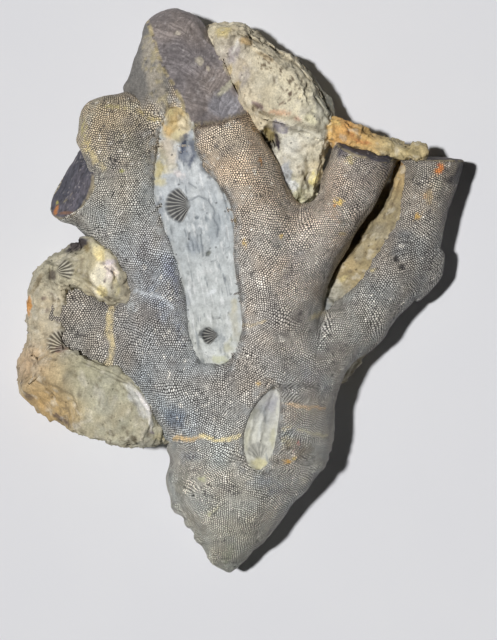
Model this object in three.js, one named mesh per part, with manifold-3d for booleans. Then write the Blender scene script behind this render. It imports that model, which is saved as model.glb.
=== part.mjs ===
// A fossil bryozoan colony that forks like an open hand, still holding patches of its limestone matrix.
// Millimetres. +Z up, +Y from the pointed stem to the tips of the branches, lying flat on z = 0.

import * as THREE from 'three';
import { mergeVertices } from 'three/addons/utils/BufferGeometryUtils.js';
import Module from 'manifold-3d';

const wasm = await Module();
wasm.setup();

// ---------------------------------------------------------------- driving dimensions

const JOINT_GAP = 0.3;         // air left between any two neighbouring pieces
const WELD = 0.0001;           // points closer than this are one point
const TALL = 60;               // longer than any height or width that a cutter meets
const PATCH_HEADROOM = 4;      // how far a pocket is cleared above its patch
const PATCH_RIM = 0.6;         // thickness of a patch at its thin edge
const CAP_SHARE = 0.1;         // share of a bar's length that each rounded end takes
const RING_CROWDING = 0.6;     // how much closer the rings of a bar stand near its ends

// How finely the surfaces are divided.
const BAR_AROUND = 18;
const BAR_ALONG = 15;
const PATCH_ACROSS = 6;
const PATCH_ALONG = 12;
const PIT_AROUND = 9;
const PIT_RINGS = 6;
const TOP_STEPS = 60;          // steps along a limb when its top is looked up

// Undulation of worn stone: crossing waves, each with its direction (radians per mm) and its phase.
const WAVES = [
  { turn: [0.52, 0.31, 0.20], phase: 0.4 },
  { turn: [-0.33, 0.61, 0.25], phase: 2.1 },
  { turn: [0.95, -0.42, 0.55], phase: 4.0 },
  { turn: [-0.71, -0.88, 0.47], phase: 5.2 },
];

// Every limb and lump is a bar with an oval section, carried along a curved line.
// Stations run along that line: x, y, z of its middle, then the section's half width and half height.
// "round" is the power of the section's curve (2 is an ellipse, more is squarer), and "swell" the height
// of the undulation on its surface.  A "crosswise" bar keeps its sections square to +Y.
// A broken face is a point on it and the direction that it looks in.  One with "beyond" is a notch,
// open only on the far side of that second face.
const LIMBS = {
  stem: {
    round: 2.1,
    swell: 0.3,
    crosswise: true,
    stations: [
      [-1.8, -38.2, 7.0, 1.2, 2.0],
      [-2.0, -35.8, 7.6, 2.9, 4.8],
      [-1.5, -33.0, 8.1, 5.0, 6.9],
      [-1.3, -29.3, 8.6, 7.6, 8.6],
      [-0.4, -25.9, 9.0, 9.9, 9.3],
      [1.0, -22.4, 9.3, 10.3, 9.6],
      [1.2, -17.5, 9.4, 10.1, 9.6],
      [1.6, -12.0, 9.5, 9.3, 9.4],
      [1.8, -6.0, 9.6, 7.6, 8.6],
    ],
  },
  leftTrunk: {
    round: 2.2,
    swell: 0.25,
    stations: [
      [2.4, -26.0, 9.1, 5.0, 8.0],
      [-1.6, -19.6, 9.3, 6.2, 8.8],
      [-6.4, -13.6, 9.5, 7.0, 8.9],
      [-10.1, -5.9, 9.7, 6.0, 8.3],
      [-10.9, 0.8, 9.8, 4.7, 7.8],
      [-12.6, 6.9, 9.8, 6.2, 7.4],
      [-15.1, 13.0, 9.7, 5.6, 6.9],
      [-16.6, 18.4, 9.4, 5.5, 6.5],
      [-16.9, 23.4, 9.0, 5.3, 5.8],
      [-16.9, 26.1, 8.7, 3.8, 4.8],
    ],
  },
  leftBranch: {
    round: 2.2,
    swell: 0.25,
    stations: [
      [-13.5, 9.2, 9.6, 5.0, 6.6],
      [-18.8, 12.6, 9.3, 5.4, 6.1],
      [-22.0, 13.6, 9.0, 4.6, 5.6],
      [-29.4, 15.6, 8.3, 4.4, 5.2],
    ],
    brokenFace: { at: [-24.1, 13.6, 8.0], facing: [-0.85, 0.27, 0.36] },
  },
  lowerLeftBranch: {
    round: 2.3,
    swell: 0.2,
    stations: [
      [-9.6, -8.2, 9.2, 6.0, 7.6],
      [-15.5, -7.0, 8.4, 5.1, 6.3],
      [-19.3, -5.4, 7.5, 4.3, 5.2],
      [-22.8, -3.9, 6.8, 4.5, 4.4],
      [-25.2, -3.4, 6.3, 3.8, 3.6],
    ],
  },
  centreBranch: {
    round: 2.2,
    swell: 0.25,
    stations: [
      [1.8, -25.0, 9.1, 7.6, 8.2],
      [2.6, -16.8, 9.5, 8.8, 9.2],
      [3.1, -7.3, 10.0, 8.2, 8.8],
      [3.0, 1.5, 10.6, 6.8, 8.0],
      [1.4, 10.3, 11.1, 5.9, 7.4],
      [-1.5, 18.1, 11.3, 5.1, 7.1],
      [-6.9, 24.5, 10.6, 6.8, 6.5],
      [-9.3, 30.0, 9.3, 6.1, 5.7],
      [-9.1, 34.6, 8.5, 4.8, 4.9],
      [-9.7, 38.3, 8.0, 3.4, 3.8],
    ],
    brokenFace: {
      at: [-8.0, 27.0, 14.4],
      facing: [0.3, 0.2, 1],
      beyond: { at: [-3.0, 22.7, 14.2], facing: [-0.25, 0.9, 0.55] },
    },
  },
  rightBranch: {
    round: 2.3,
    swell: 0.2,
    stations: [
      [5.0, -6.6, 10.0, 5.2, 8.0],
      [5.9, 0.1, 10.6, 4.0, 7.3],
      [10.0, 6.9, 11.0, 4.1, 6.7],
      [12.7, 10.5, 11.1, 3.6, 6.4],
      [15.0, 15.0, 11.1, 4.1, 6.3],
      [18.6, 25.0, 11.0, 4.3, 6.0],
    ],
    brokenFace: { at: [16.0, 18.9, 13.0], facing: [0.28, 0.9, 0.22] },
  },
  farRightBranch: {
    round: 2.3,
    swell: 0.2,
    stations: [
      [3.0, -21.0, 9.2, 6.0, 8.0],
      [7.2, -13.6, 9.0, 4.2, 8.0],
      [11.7, -7.4, 8.4, 3.8, 7.0],
      [15.8, -3.6, 7.9, 4.1, 6.3],
      [19.3, 0.7, 7.5, 3.9, 5.8],
      [22.4, 5.9, 7.2, 3.9, 5.5],
      [24.7, 13.0, 7.0, 3.6, 5.2],
      [26.0, 18.6, 6.9, 4.3, 5.1],
      [27.2, 25.0, 6.8, 4.4, 5.0],
    ],
    brokenFace: { at: [25.8, 17.9, 8.0], facing: [0.05, 1, 0.06] },
  },
  // the low web that the branches share where the infill covers it
  web: {
    round: 2.2,
    swell: 0,
    around: 12,
    along: 8,
    stations: [
      [-1.0, -14.0, 6.8, 6.0, 6.4],
      [-4.5, -4.0, 6.8, 5.6, 6.2],
      [-6.0, 6.0, 6.8, 5.4, 6.0],
      [-8.5, 14.0, 6.8, 5.0, 5.8],
      [-11.0, 21.0, 6.6, 4.4, 5.4],
    ],
  },
  // the knob low on the outer side of the far right branch
  knob: {
    round: 2,
    swell: 0,
    around: 12,
    along: 7,
    stations: [
      [21.8, 0.2, 6.4, 1.9, 2.6],
      [23.9, 3.0, 6.4, 2.8, 3.6],
      [24.3, 6.0, 6.4, 1.8, 2.6],
    ],
  },
};

// The matrix.  "ledge" is a notch that steps a rock down, and "extra" a second bar that belongs to it: the
// bed that closes the channel from below.
const ROCKS = {
  left_matrix: {
    round: 2.7,
    swell: 0.45,
    along: 24,
    stations: [
      [-13.8, -1.0, 9.4, 1.4, 4.2],
      [-17.4, 0.9, 9.2, 3.1, 5.6],
      [-20.7, 3.4, 8.2, 3.8, 6.6],
      [-23.5, 3.0, 7.0, 2.5, 6.6],
      [-26.2, 0.1, 6.1, 2.9, 6.4],
      [-26.6, -4.1, 5.8, 2.7, 6.1],
      [-26.8, -7.6, 6.2, 2.5, 6.4],
      [-26.6, -11.6, 6.9, 4.0, 7.1],
      [-22.0, -13.8, 7.4, 4.9, 7.7],
      [-17.6, -15.6, 7.5, 4.9, 7.7],
      [-13.8, -18.1, 7.4, 2.9, 7.0],
      [-8.8, -19.9, 7.0, 0.9, 5.0],
    ],
  },
  upper_matrix: {
    round: 2.9,
    swell: 0.5,
    stations: [
      [-3.9, 35.6, 7.4, 1.2, 4.4],
      [-1.5, 32.3, 7.4, 3.3, 7.0],
      [1.2, 29.3, 7.2, 4.6, 7.6],
      [4.6, 25.6, 7.2, 5.8, 7.7],
      [6.9, 22.0, 7.0, 5.7, 7.4],
      [7.3, 18.4, 6.8, 4.0, 7.0],
      [7.9, 14.3, 6.6, 2.6, 6.6],
      [7.6, 11.0, 6.6, 1.2, 5.4],
    ],
    ledge: {
      at: [7.0, 20.6, 13.0],
      facing: [0, -0.12, 1],
      beyond: { at: [7.0, 21.4, 13.0], facing: [-0.25, -0.95, 0.25] },
    },
  },
  ledge_matrix: {
    round: 2.6,
    swell: 0.35,
    around: 14,
    along: 9,
    stations: [
      [10.4, 21.9, 9.2, 1.8, 3.6],
      [14.0, 21.0, 9.2, 1.8, 3.8],
      [17.6, 19.7, 9.0, 1.5, 3.7],
      [21.0, 18.7, 8.6, 1.3, 3.5],
      [24.8, 18.2, 8.2, 1.0, 2.8],
    ],
  },
  channel_matrix: {
    round: 2.4,
    swell: 0.2,
    around: 14,
    stations: [
      [22.2, 18.0, 6.4, 1.2, 4.0],
      [20.4, 12.0, 6.4, 1.5, 4.6],
      [17.8, 7.4, 6.4, 1.7, 4.9],
      [15.0, 3.2, 6.5, 1.8, 5.0],
      [12.2, 0.0, 6.6, 1.7, 5.0],
      [9.8, -2.4, 6.8, 1.2, 4.6],
    ],
    extra: {
      round: 2.4,
      swell: 0,
      around: 12,
      along: 8,
      stations: [
        [20.4, 15.0, 3.0, 2.2, 3.2],
        [16.4, 6.4, 3.0, 3.2, 3.4],
        [10.6, -1.6, 3.0, 2.6, 3.2],
      ],
    },
  },
  lower_right_matrix: {
    round: 2.4,
    swell: 0.2,
    around: 14,
    along: 8,
    stations: [
      [15.5, -7.6, 5.2, 1.0, 3.4],
      [13.7, -9.8, 5.0, 1.8, 5.2],
      [11.6, -12.4, 4.8, 1.1, 3.4],
    ],
  },
};

// Patches let into the top of the colony.  Stations: x, y and half width of the patch's outline.
const PATCHES = {
  centre_matrix: {
    depth: 3.2,
    dome: -0.5,
    stations: [
      [-9.2, 25.6, 1.0],
      [-9.1, 22.0, 2.1],
      [-8.9, 18.2, 3.0],
      [-7.9, 13.4, 4.6],
      [-6.1, 9.0, 5.1],
      [-5.3, 4.2, 4.6],
      [-4.2, -1.2, 3.9],
      [-3.7, -5.9, 3.3],
      [-3.9, -9.8, 1.2],
    ],
  },
  lens_matrix: {
    depth: 2.2,
    dome: -0.6,
    stations: [
      [4.7, -13.2, 0.6],
      [3.5, -15.7, 2.0],
      [2.5, -18.8, 2.6],
      [1.9, -21.5, 2.2],
      [1.7, -23.9, 0.9],
    ],
  },
};

// Cuts that part the colony at its forks, as chains of x, y in plan.
const FORK_CUTS = [
  [[-16.0, -20.2], [-1.8, -19.8], [16.0, -18.4]],
  [[-1.8, -19.8], [-9.5, 18.6], [-17.5, 27.6]],
  [[6.3, 14.0], [9.0, -4.2], [12.4, -14.9], [15.0, -19.0]],
  [[9.0, -4.2], [14.2, 4.8], [21.0, 14.0]],
  [[-22.4, 20.6], [-18.2, 4.0]],
  [[-17.6, 3.0], [-17.9, -16.0]],
];

// A point well inside each piece of the colony, by which the cut pieces are told apart.
const COLONY_SEEDS = {
  stem: [0, -27, 9],
  left_trunk: [-12.5, 6, 9],
  left_branch: [-21.5, 13, 9],
  lower_left_branch: [-21, -4.6, 7],
  centre_branch: [2.8, 4, 10],
  right_branch: [13, 11, 11],
  far_right_branch: [20.6, 3, 7],
};

// Pits in the matrix: middle and radius.
const PITS = {
  left_matrix: [
    [-19.9, 4.4, 15.2, 1.1],
    [-25.9, -1.4, 13.0, 0.9],
    [-21.0, -12.4, 15.6, 1.0],
    [-24.4, -14.6, 14.6, 1.2],
    [-15.2, -17.0, 15.4, 1.0],
  ],
  upper_matrix: [
    [2.4, 27.2, 15.6, 1.4],
    [5.9, 27.8, 15.2, 1.2],
    [5.0, 23.6, 15.6, 1.3],
    [9.2, 22.6, 14.8, 1.2],
    [0.4, 31.2, 14.8, 1.1],
  ],
  centre_matrix: [
    [-4.4, -5.2, 17.9, 1.5],
    [-6.2, 9.4, 17.9, 1.2],
    [-9.6, 20.2, 17.2, 1.0],
  ],
};

const STONE = {
  colony: { color: 0x77736e, roughness: 0.8 },
  matrix: { color: 0xb5a88a, roughness: 0.9 },
  infill: { color: 0xa3a9ac, roughness: 0.75 },
};

// ---------------------------------------------------------------- shapes

const UP = new THREE.Vector3(0, 0, 1);
const NORTH = new THREE.Vector3(0, 1, 0);

const signedPower = (value, power) => Math.sign(value) * Math.abs(value) ** power;

// Sum of the crossing waves at a point, between -1 and 1.
function undulation(point) {
  let sum = 0;
  for (const { turn, phase } of WAVES) {
    sum += Math.sin(turn[0] * point.x + turn[1] * point.y + turn[2] * point.z + phase);
  }
  return sum / WAVES.length;
}

// A smooth open curve through triples of numbers.
function smoothCurve(triples) {
  const points = triples.map((triple) => new THREE.Vector3(...triple));
  return new THREE.CatmullRomCurve3(points, false, 'catmullrom');
}

const middleLine = (stations) => smoothCurve(stations.map(([x, y, z]) => [x, y, z]));

// The section's half width and half height along the line, carried as the x and y of a second curve.
const girthLine = (stations) => smoothCurve(stations.map(([, , , w, h]) => [w, h, 0]));

// Full girth along the bar, falling to nothing over a quarter circle at each end.
function endCap(share) {
  const inward = Math.min(share, 1 - share) / CAP_SHARE;
  return inward >= 1 ? 1 : Math.sqrt(1 - (1 - inward) ** 2);
}

// Even steps from 0 to 1, crowded towards both ends so that the rounded ends come out round.
function ringShare(step) {
  return step - RING_CROWDING * Math.sin(2 * Math.PI * step) / (2 * Math.PI);
}

// A bar along the stations.  It starts as a sphere's grid, whose u runs round the section and whose
// v runs along the line; "grow" fattens it all round.
function bar(shape, grow = 0) {
  const { stations, round, swell, crosswise, around = BAR_AROUND, along = BAR_ALONG } = shape;
  const line = middleLine(stations);
  const girth = girthLine(stations);
  const geometry = new THREE.SphereGeometry(1, around, along);
  const { position, uv } = geometry.attributes;
  for (let i = 0; i < position.count; i += 1) {
    const share = ringShare(THREE.MathUtils.clamp(1 - uv.getY(i), 0, 1));
    const turn = Math.atan2(position.getZ(i), -position.getX(i));
    const middle = line.getPoint(share);
    const ahead = crosswise ? NORTH.clone() : line.getTangent(share);
    const side = new THREE.Vector3().crossVectors(UP, ahead).normalize();
    const over = new THREE.Vector3().crossVectors(ahead, side);
    const size = girth.getPoint(share);
    const cap = endCap(share);
    const out = side.multiplyScalar(signedPower(Math.cos(turn), 2 / round) * cap * (size.x + grow));
    out.addScaledVector(over, -signedPower(Math.sin(turn), 2 / round) * cap * (size.y + grow));
    const reach = out.length();
    const lift = reach > WELD ? 1 + swell * undulation(middle.clone().add(out)) / reach : 1;
    middle.addScaledVector(out, lift);
    middle.addScaledVector(ahead, grow * Math.sign(share - 0.5) * (1 - cap));
    position.setXYZ(i, middle.x, middle.y, middle.z);
  }
  return geometry;
}

// A cutter that fills everything on the open side of a flat face, and beyond a second face if given.
function openSide({ at, facing, beyond }, back) {
  const normal = new THREE.Vector3(...facing).normalize();
  const middle = new THREE.Vector3(...at).addScaledVector(normal, back + TALL / 2);
  const block = new THREE.BoxGeometry(TALL, TALL, TALL);
  block.applyQuaternion(new THREE.Quaternion().setFromUnitVectors(UP, normal));
  block.translate(middle.x, middle.y, middle.z);
  const cutter = solid(block);
  return beyond ? cutter.intersect(openSide(beyond, back)) : cutter;
}

// Thin upright cutters along a chain of points in plan.
function sawCut(chain) {
  let cutter = null;
  for (let i = 1; i < chain.length; i += 1) {
    const [x0, y0] = chain[i - 1];
    const [x1, y1] = chain[i];
    const length = Math.hypot(x1 - x0, y1 - y0) + JOINT_GAP;
    const blade = new THREE.BoxGeometry(length, JOINT_GAP, TALL);
    blade.rotateZ(Math.atan2(y1 - y0, x1 - x0));
    blade.translate((x0 + x1) / 2, (y0 + y1) / 2, 0);
    cutter = cutter ? cutter.add(solid(blade)) : solid(blade);
  }
  return cutter;
}

// The balls that hollow out a piece's pits.
function pits(name) {
  return (PITS[name] ?? []).map(([x, y, z, radius]) => {
    const ball = new THREE.SphereGeometry(radius, PIT_AROUND, PIT_RINGS);
    ball.translate(x, y, z);
    return solid(ball);
  });
}

// Height of a flat face over a point in plan.
function faceHeight({ at, facing }, x, y) {
  return at[2] - ((x - at[0]) * facing[0] + (y - at[1]) * facing[1]) / facing[2];
}

// Height of the colony's upper surface over a point in plan: the highest of its limbs there, each
// read as an ellipse across the nearest point of its line, and lowered where a notch is broken out.
function colonyTop(x, y) {
  let top = 0;
  for (const { stations, brokenFace } of Object.values(LIMBS)) {
    const line = middleLine(stations);
    const girth = girthLine(stations);
    for (let step = 0; step <= TOP_STEPS; step += 1) {
      const middle = line.getPoint(step / TOP_STEPS);
      const size = girth.getPoint(step / TOP_STEPS);
      const across = Math.hypot(x - middle.x, y - middle.y) / size.x;
      if (across < 1) {
        const whole = middle.z + size.y * Math.sqrt(1 - across * across);
        const inNotch = brokenFace?.beyond && faceHeight(brokenFace.beyond, x, y) < whole;
        top = Math.max(top, inNotch ? Math.min(whole, faceHeight(brokenFace, x, y)) : whole);
      }
    }
  }
  return top;
}

// A patch of infill: a block whose top spans from one side of its outline to the other at the colony's
// own height, sagging by "dome" between, and whose underside is a keel "depth" deep.
function patch({ stations, depth, dome }, grow = 0, headroom = 0) {
  const outline = smoothCurve(stations);
  const geometry = new THREE.BoxGeometry(2, 1, 1, PATCH_ACROSS, PATCH_ALONG, 1);
  const { position } = geometry.attributes;
  for (let i = 0; i < position.count; i += 1) {
    const across = position.getX(i);
    const share = position.getY(i) + 0.5;
    const { x, y, z: halfWidth } = outline.getPoint(share);
    const ahead = outline.getTangent(share).setZ(0).normalize();
    const side = new THREE.Vector3().crossVectors(ahead, UP);
    const rightTop = colonyTop(x + side.x * halfWidth, y + side.y * halfWidth);
    const leftTop = colonyTop(x - side.x * halfWidth, y - side.y * halfWidth);
    const arch = 1 - across * across;
    const surface = THREE.MathUtils.lerp(leftTop, rightTop, (across + 1) / 2) + dome * arch;
    const keel = PATCH_RIM + (depth - PATCH_RIM) * arch * Math.sin(Math.PI * share);
    const height = position.getZ(i) > 0 ? surface + headroom : surface - keel - grow;
    const reach = across * (halfWidth + grow);
    const past = grow * (2 * share - 1);
    position.setXYZ(i, x + side.x * reach + ahead.x * past, y + side.y * reach + ahead.y * past, height);
  }
  return geometry;
}

// ---------------------------------------------------------------- joining and cutting

function solid(geometry) {
  const bare = geometry.clone();
  bare.deleteAttribute('normal');
  bare.deleteAttribute('uv');
  const welded = mergeVertices(bare, WELD);
  return new wasm.Manifold(new wasm.Mesh({
    numProp: 3,
    vertProperties: new Float32Array(welded.attributes.position.array),
    triVerts: new Uint32Array(welded.index.array),
  }));
}

const joined = (bodies) => bodies.reduce((sum, body) => sum.add(body));

const carved = (body, cutters) => cutters.reduce((rest, cutter) => rest.subtract(cutter), body);

const biggest = (body) => body.decompose().sort((a, b) => b.volume() - a.volume())[0];

function holds(body, seed) {
  const probe = new THREE.BoxGeometry(JOINT_GAP, JOINT_GAP, JOINT_GAP);
  probe.translate(...seed);
  return body.intersect(solid(probe)).volume() > 0;
}

// A limb of the colony, fattened by "grow" and broken off at its broken face.
function limbBody(limb, grow) {
  const whole = solid(bar(limb, grow));
  return limb.brokenFace ? whole.subtract(openSide(limb.brokenFace, grow)) : whole;
}

const colony = (grow) => joined(Object.values(LIMBS).map((limb) => limbBody(limb, grow)));

function belowGround() {
  const block = new THREE.BoxGeometry(2 * TALL, 2 * TALL, TALL);
  block.translate(0, 0, -TALL / 2);
  return solid(block);
}

// ---------------------------------------------------------------- the object

const ground = belowGround();
const pieces = {};

const pockets = Object.values(PATCHES).map((shape) => solid(patch(shape, JOINT_GAP, PATCH_HEADROOM)));
const wholeColony = carved(colony(0), [...pockets, ground]);
const partedColony = carved(wholeColony, FORK_CUTS.map(sawCut)).decompose();
for (const [name, seed] of Object.entries(COLONY_SEEDS)) {
  pieces[name] = { body: partedColony.find((body) => holds(body, seed)), stone: STONE.colony };
}

const keepOut = colony(JOINT_GAP);
// Each rock gives way to the colony and to the rocks before it.
const taken = [keepOut, ground];
for (const [name, { extra, ledge, ...shape }] of Object.entries(ROCKS)) {
  const body = extra ? solid(bar(shape)).add(solid(bar(extra))) : solid(bar(shape));
  const cutters = ledge ? [openSide(ledge, 0), ...taken] : taken;
  pieces[name] = { body: carved(body, [...cutters, ...pits(name)]), stone: STONE.matrix };
  taken.push(solid(bar(shape, JOINT_GAP)));
}
for (const [name, shape] of Object.entries(PATCHES)) {
  pieces[name] = { body: carved(solid(patch(shape)), pits(name)), stone: STONE.infill };
}

function stoneMesh(name, { body, stone }) {
  const { vertProperties, triVerts } = biggest(body).getMesh();
  const geometry = new THREE.BufferGeometry();
  geometry.setAttribute('position', new THREE.BufferAttribute(vertProperties, 3));
  geometry.setIndex(new THREE.BufferAttribute(triVerts, 1));
  geometry.computeVertexNormals();
  const mesh = new THREE.Mesh(geometry, new THREE.MeshStandardMaterial({ ...stone, metalness: 0 }));
  mesh.name = name;
  return mesh;
}

const fossil = new THREE.Group();
for (const [name, piece] of Object.entries(pieces)) {
  fossil.add(stoneMesh(name, piece));
}

export default fossil;
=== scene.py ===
import math

import bpy
import numpy as np
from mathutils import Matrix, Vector


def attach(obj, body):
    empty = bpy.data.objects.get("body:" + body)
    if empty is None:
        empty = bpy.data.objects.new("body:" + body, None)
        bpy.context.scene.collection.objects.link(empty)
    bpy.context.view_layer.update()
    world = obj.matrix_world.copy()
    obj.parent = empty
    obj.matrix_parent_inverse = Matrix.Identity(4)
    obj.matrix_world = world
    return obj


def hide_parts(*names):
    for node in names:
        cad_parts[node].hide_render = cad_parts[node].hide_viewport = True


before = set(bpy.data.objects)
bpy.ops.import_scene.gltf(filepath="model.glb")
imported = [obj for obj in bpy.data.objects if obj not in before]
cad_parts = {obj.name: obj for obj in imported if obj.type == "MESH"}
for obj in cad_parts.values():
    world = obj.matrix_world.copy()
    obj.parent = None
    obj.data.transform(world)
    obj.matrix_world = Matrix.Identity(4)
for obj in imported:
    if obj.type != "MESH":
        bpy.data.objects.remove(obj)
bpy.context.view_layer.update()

print("frame loaded:", len(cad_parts), "solids")

# Every length below is in millimetres and every colour is red, green, blue from 0 to 255.
# The pieces are turned into metres and linear light only where they become meshes and materials.
metre = 0.001
tiny = 1e-9
upward = np.array([0.0, 0.0, 1.0])


# The noises that roughen the stone are made of numbers that come out the same every time.
countMixes = (374761393, 668265263, 1103515245)
seedMix = 144665
lastMix = 1274126177
lowBits = 0xFFFFFF


def latticeNumber(cell, seed):
    # one repeatable number from 0 to 1 for each whole-number cell: its counts times large numbers, added up
    # and folded over themselves twice
    mixed = sum(cell[..., k] * countMixes[k] for k in range(3)) + seed * seedMix
    mixed = (mixed ^ (mixed >> 13)) * lastMix
    mixed = mixed ^ (mixed >> 16)
    return (mixed & lowBits) / lowBits


def cloud(points, size, seed):
    # smooth noise from -1 to 1: the numbers of the eight nearest corners, faded into each other
    spot = points / size
    cell = np.floor(spot).astype(np.int64)
    part = spot - cell
    fade = part ** 3 * (part * (part * 6 - 15) + 10)
    total = np.zeros(points.shape[:-1])
    for corner in np.ndindex(2, 2, 2):
        corner = np.array(corner)
        weight = np.prod(np.where(corner == 1, fade, 1 - fade), axis=-1)
        total += weight * latticeNumber(cell + corner, seed)
    return 2 * total - 1


def rough(points, size, octaves, seed):
    # clouds of halving size and height, added up
    total = np.zeros(points.shape[:-1])
    for octave in range(octaves):
        total += cloud(points, size / 2 ** octave, seed + 17 * octave) / 2 ** octave
    return total


def chips(points, size, seed):
    # flat facets: each point takes a sloping plane from the nearest of the scattered chip centres
    spot = points / size
    cell = np.floor(spot).astype(np.int64)
    nearest = np.full(points.shape[:-1], 1e9)
    height = np.zeros(points.shape[:-1])
    for step in np.ndindex(3, 3, 3):
        near = cell + np.array(step) - 1
        centre = near + np.stack([latticeNumber(near, seed + k) for k in range(3)], axis=-1)
        away = spot - centre
        distance = np.sum(away ** 2, axis=-1)
        slope = np.stack([latticeNumber(near, seed + k) - 0.5 for k in range(3, 6)], axis=-1)
        closer = distance < nearest
        plane = 2 * np.sum(away * slope, axis=-1) + latticeNumber(near, seed + 6) - 0.5
        height = np.where(closer, plane, height)
        nearest = np.minimum(nearest, distance)
    return height


def holes(points, size, share, seed):
    # round pits: 1 - (distance / reach)^2 round the centres of a share of the scattered cells,
    # with a reach from 0.18 to 0.48 of a cell
    spot = points / size
    cell = np.floor(spot).astype(np.int64)
    depth = np.zeros(points.shape[:-1])
    for step in np.ndindex(3, 3, 3):
        near = cell + np.array(step) - 1
        centre = near + np.stack([latticeNumber(near, seed + k) for k in range(3)], axis=-1)
        distance = np.sqrt(np.sum((spot - centre) ** 2, axis=-1))
        reach = 0.18 + 0.3 * latticeNumber(near, seed + 4)
        here = latticeNumber(near, seed + 5) < share
        depth = np.maximum(depth, np.where(here, np.clip(1 - (distance / reach) ** 2, 0, 1), 0))
    return depth


def cracks(points, size, width, seed):
    # thin wandering lines: 1 - |noise| / width, only where a larger cloud is high
    line = 1 - np.abs(rough(points, size, 2, seed)) / width
    return ease(line) * ease(0.4 + 1.6 * cloud(points, 2.5 * size, seed + 3))


def ease(amount):
    # 0 below 0, 1 above 1, and a smooth step between
    amount = np.clip(amount, 0, 1)
    return amount * amount * (3 - 2 * amount)


def unit(vectors):
    # vectors divided by their lengths
    return vectors / np.maximum(np.linalg.norm(vectors, axis=-1, keepdims=True), tiny)


# The limbs of the colony; stations are x, y, z, half width, half height.
quickLook = 1.0

colony = {
    "spacing": 0.221 * quickLook,  # distance between neighbouring points of a skin
    "fork": 3.6,  # how far a fork's valley is rounded
    "sink": 0.3,  # how fast a skin dives under its neighbour past a fork
    "ends": 0.1,  # share of a limb's length in each rounded end
    "relief": [(4.5, 0.24), (2.1, 0.13), (1.0, 0.07), (0.6, 0.03)],  # sizes and heights of the unevenness
    "bevel": 0.8,  # how far a broken end's rim is worn round
    "faceRelief": 0.12,  # how uneven a broken face is
    "faceStep": 0.25,  # how far the centre branch's face lies below its rim
    "pitDepth": 0.35,
}

# slow waves along three axes, with their phases
waves = [
    ([0.52, 0.31, 0.20], 0.4),
    ([-0.33, 0.61, 0.25], 2.1),
    ([0.95, -0.42, 0.55], 4.0),
    ([-0.71, -0.88, 0.47], 5.2),
]

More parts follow.
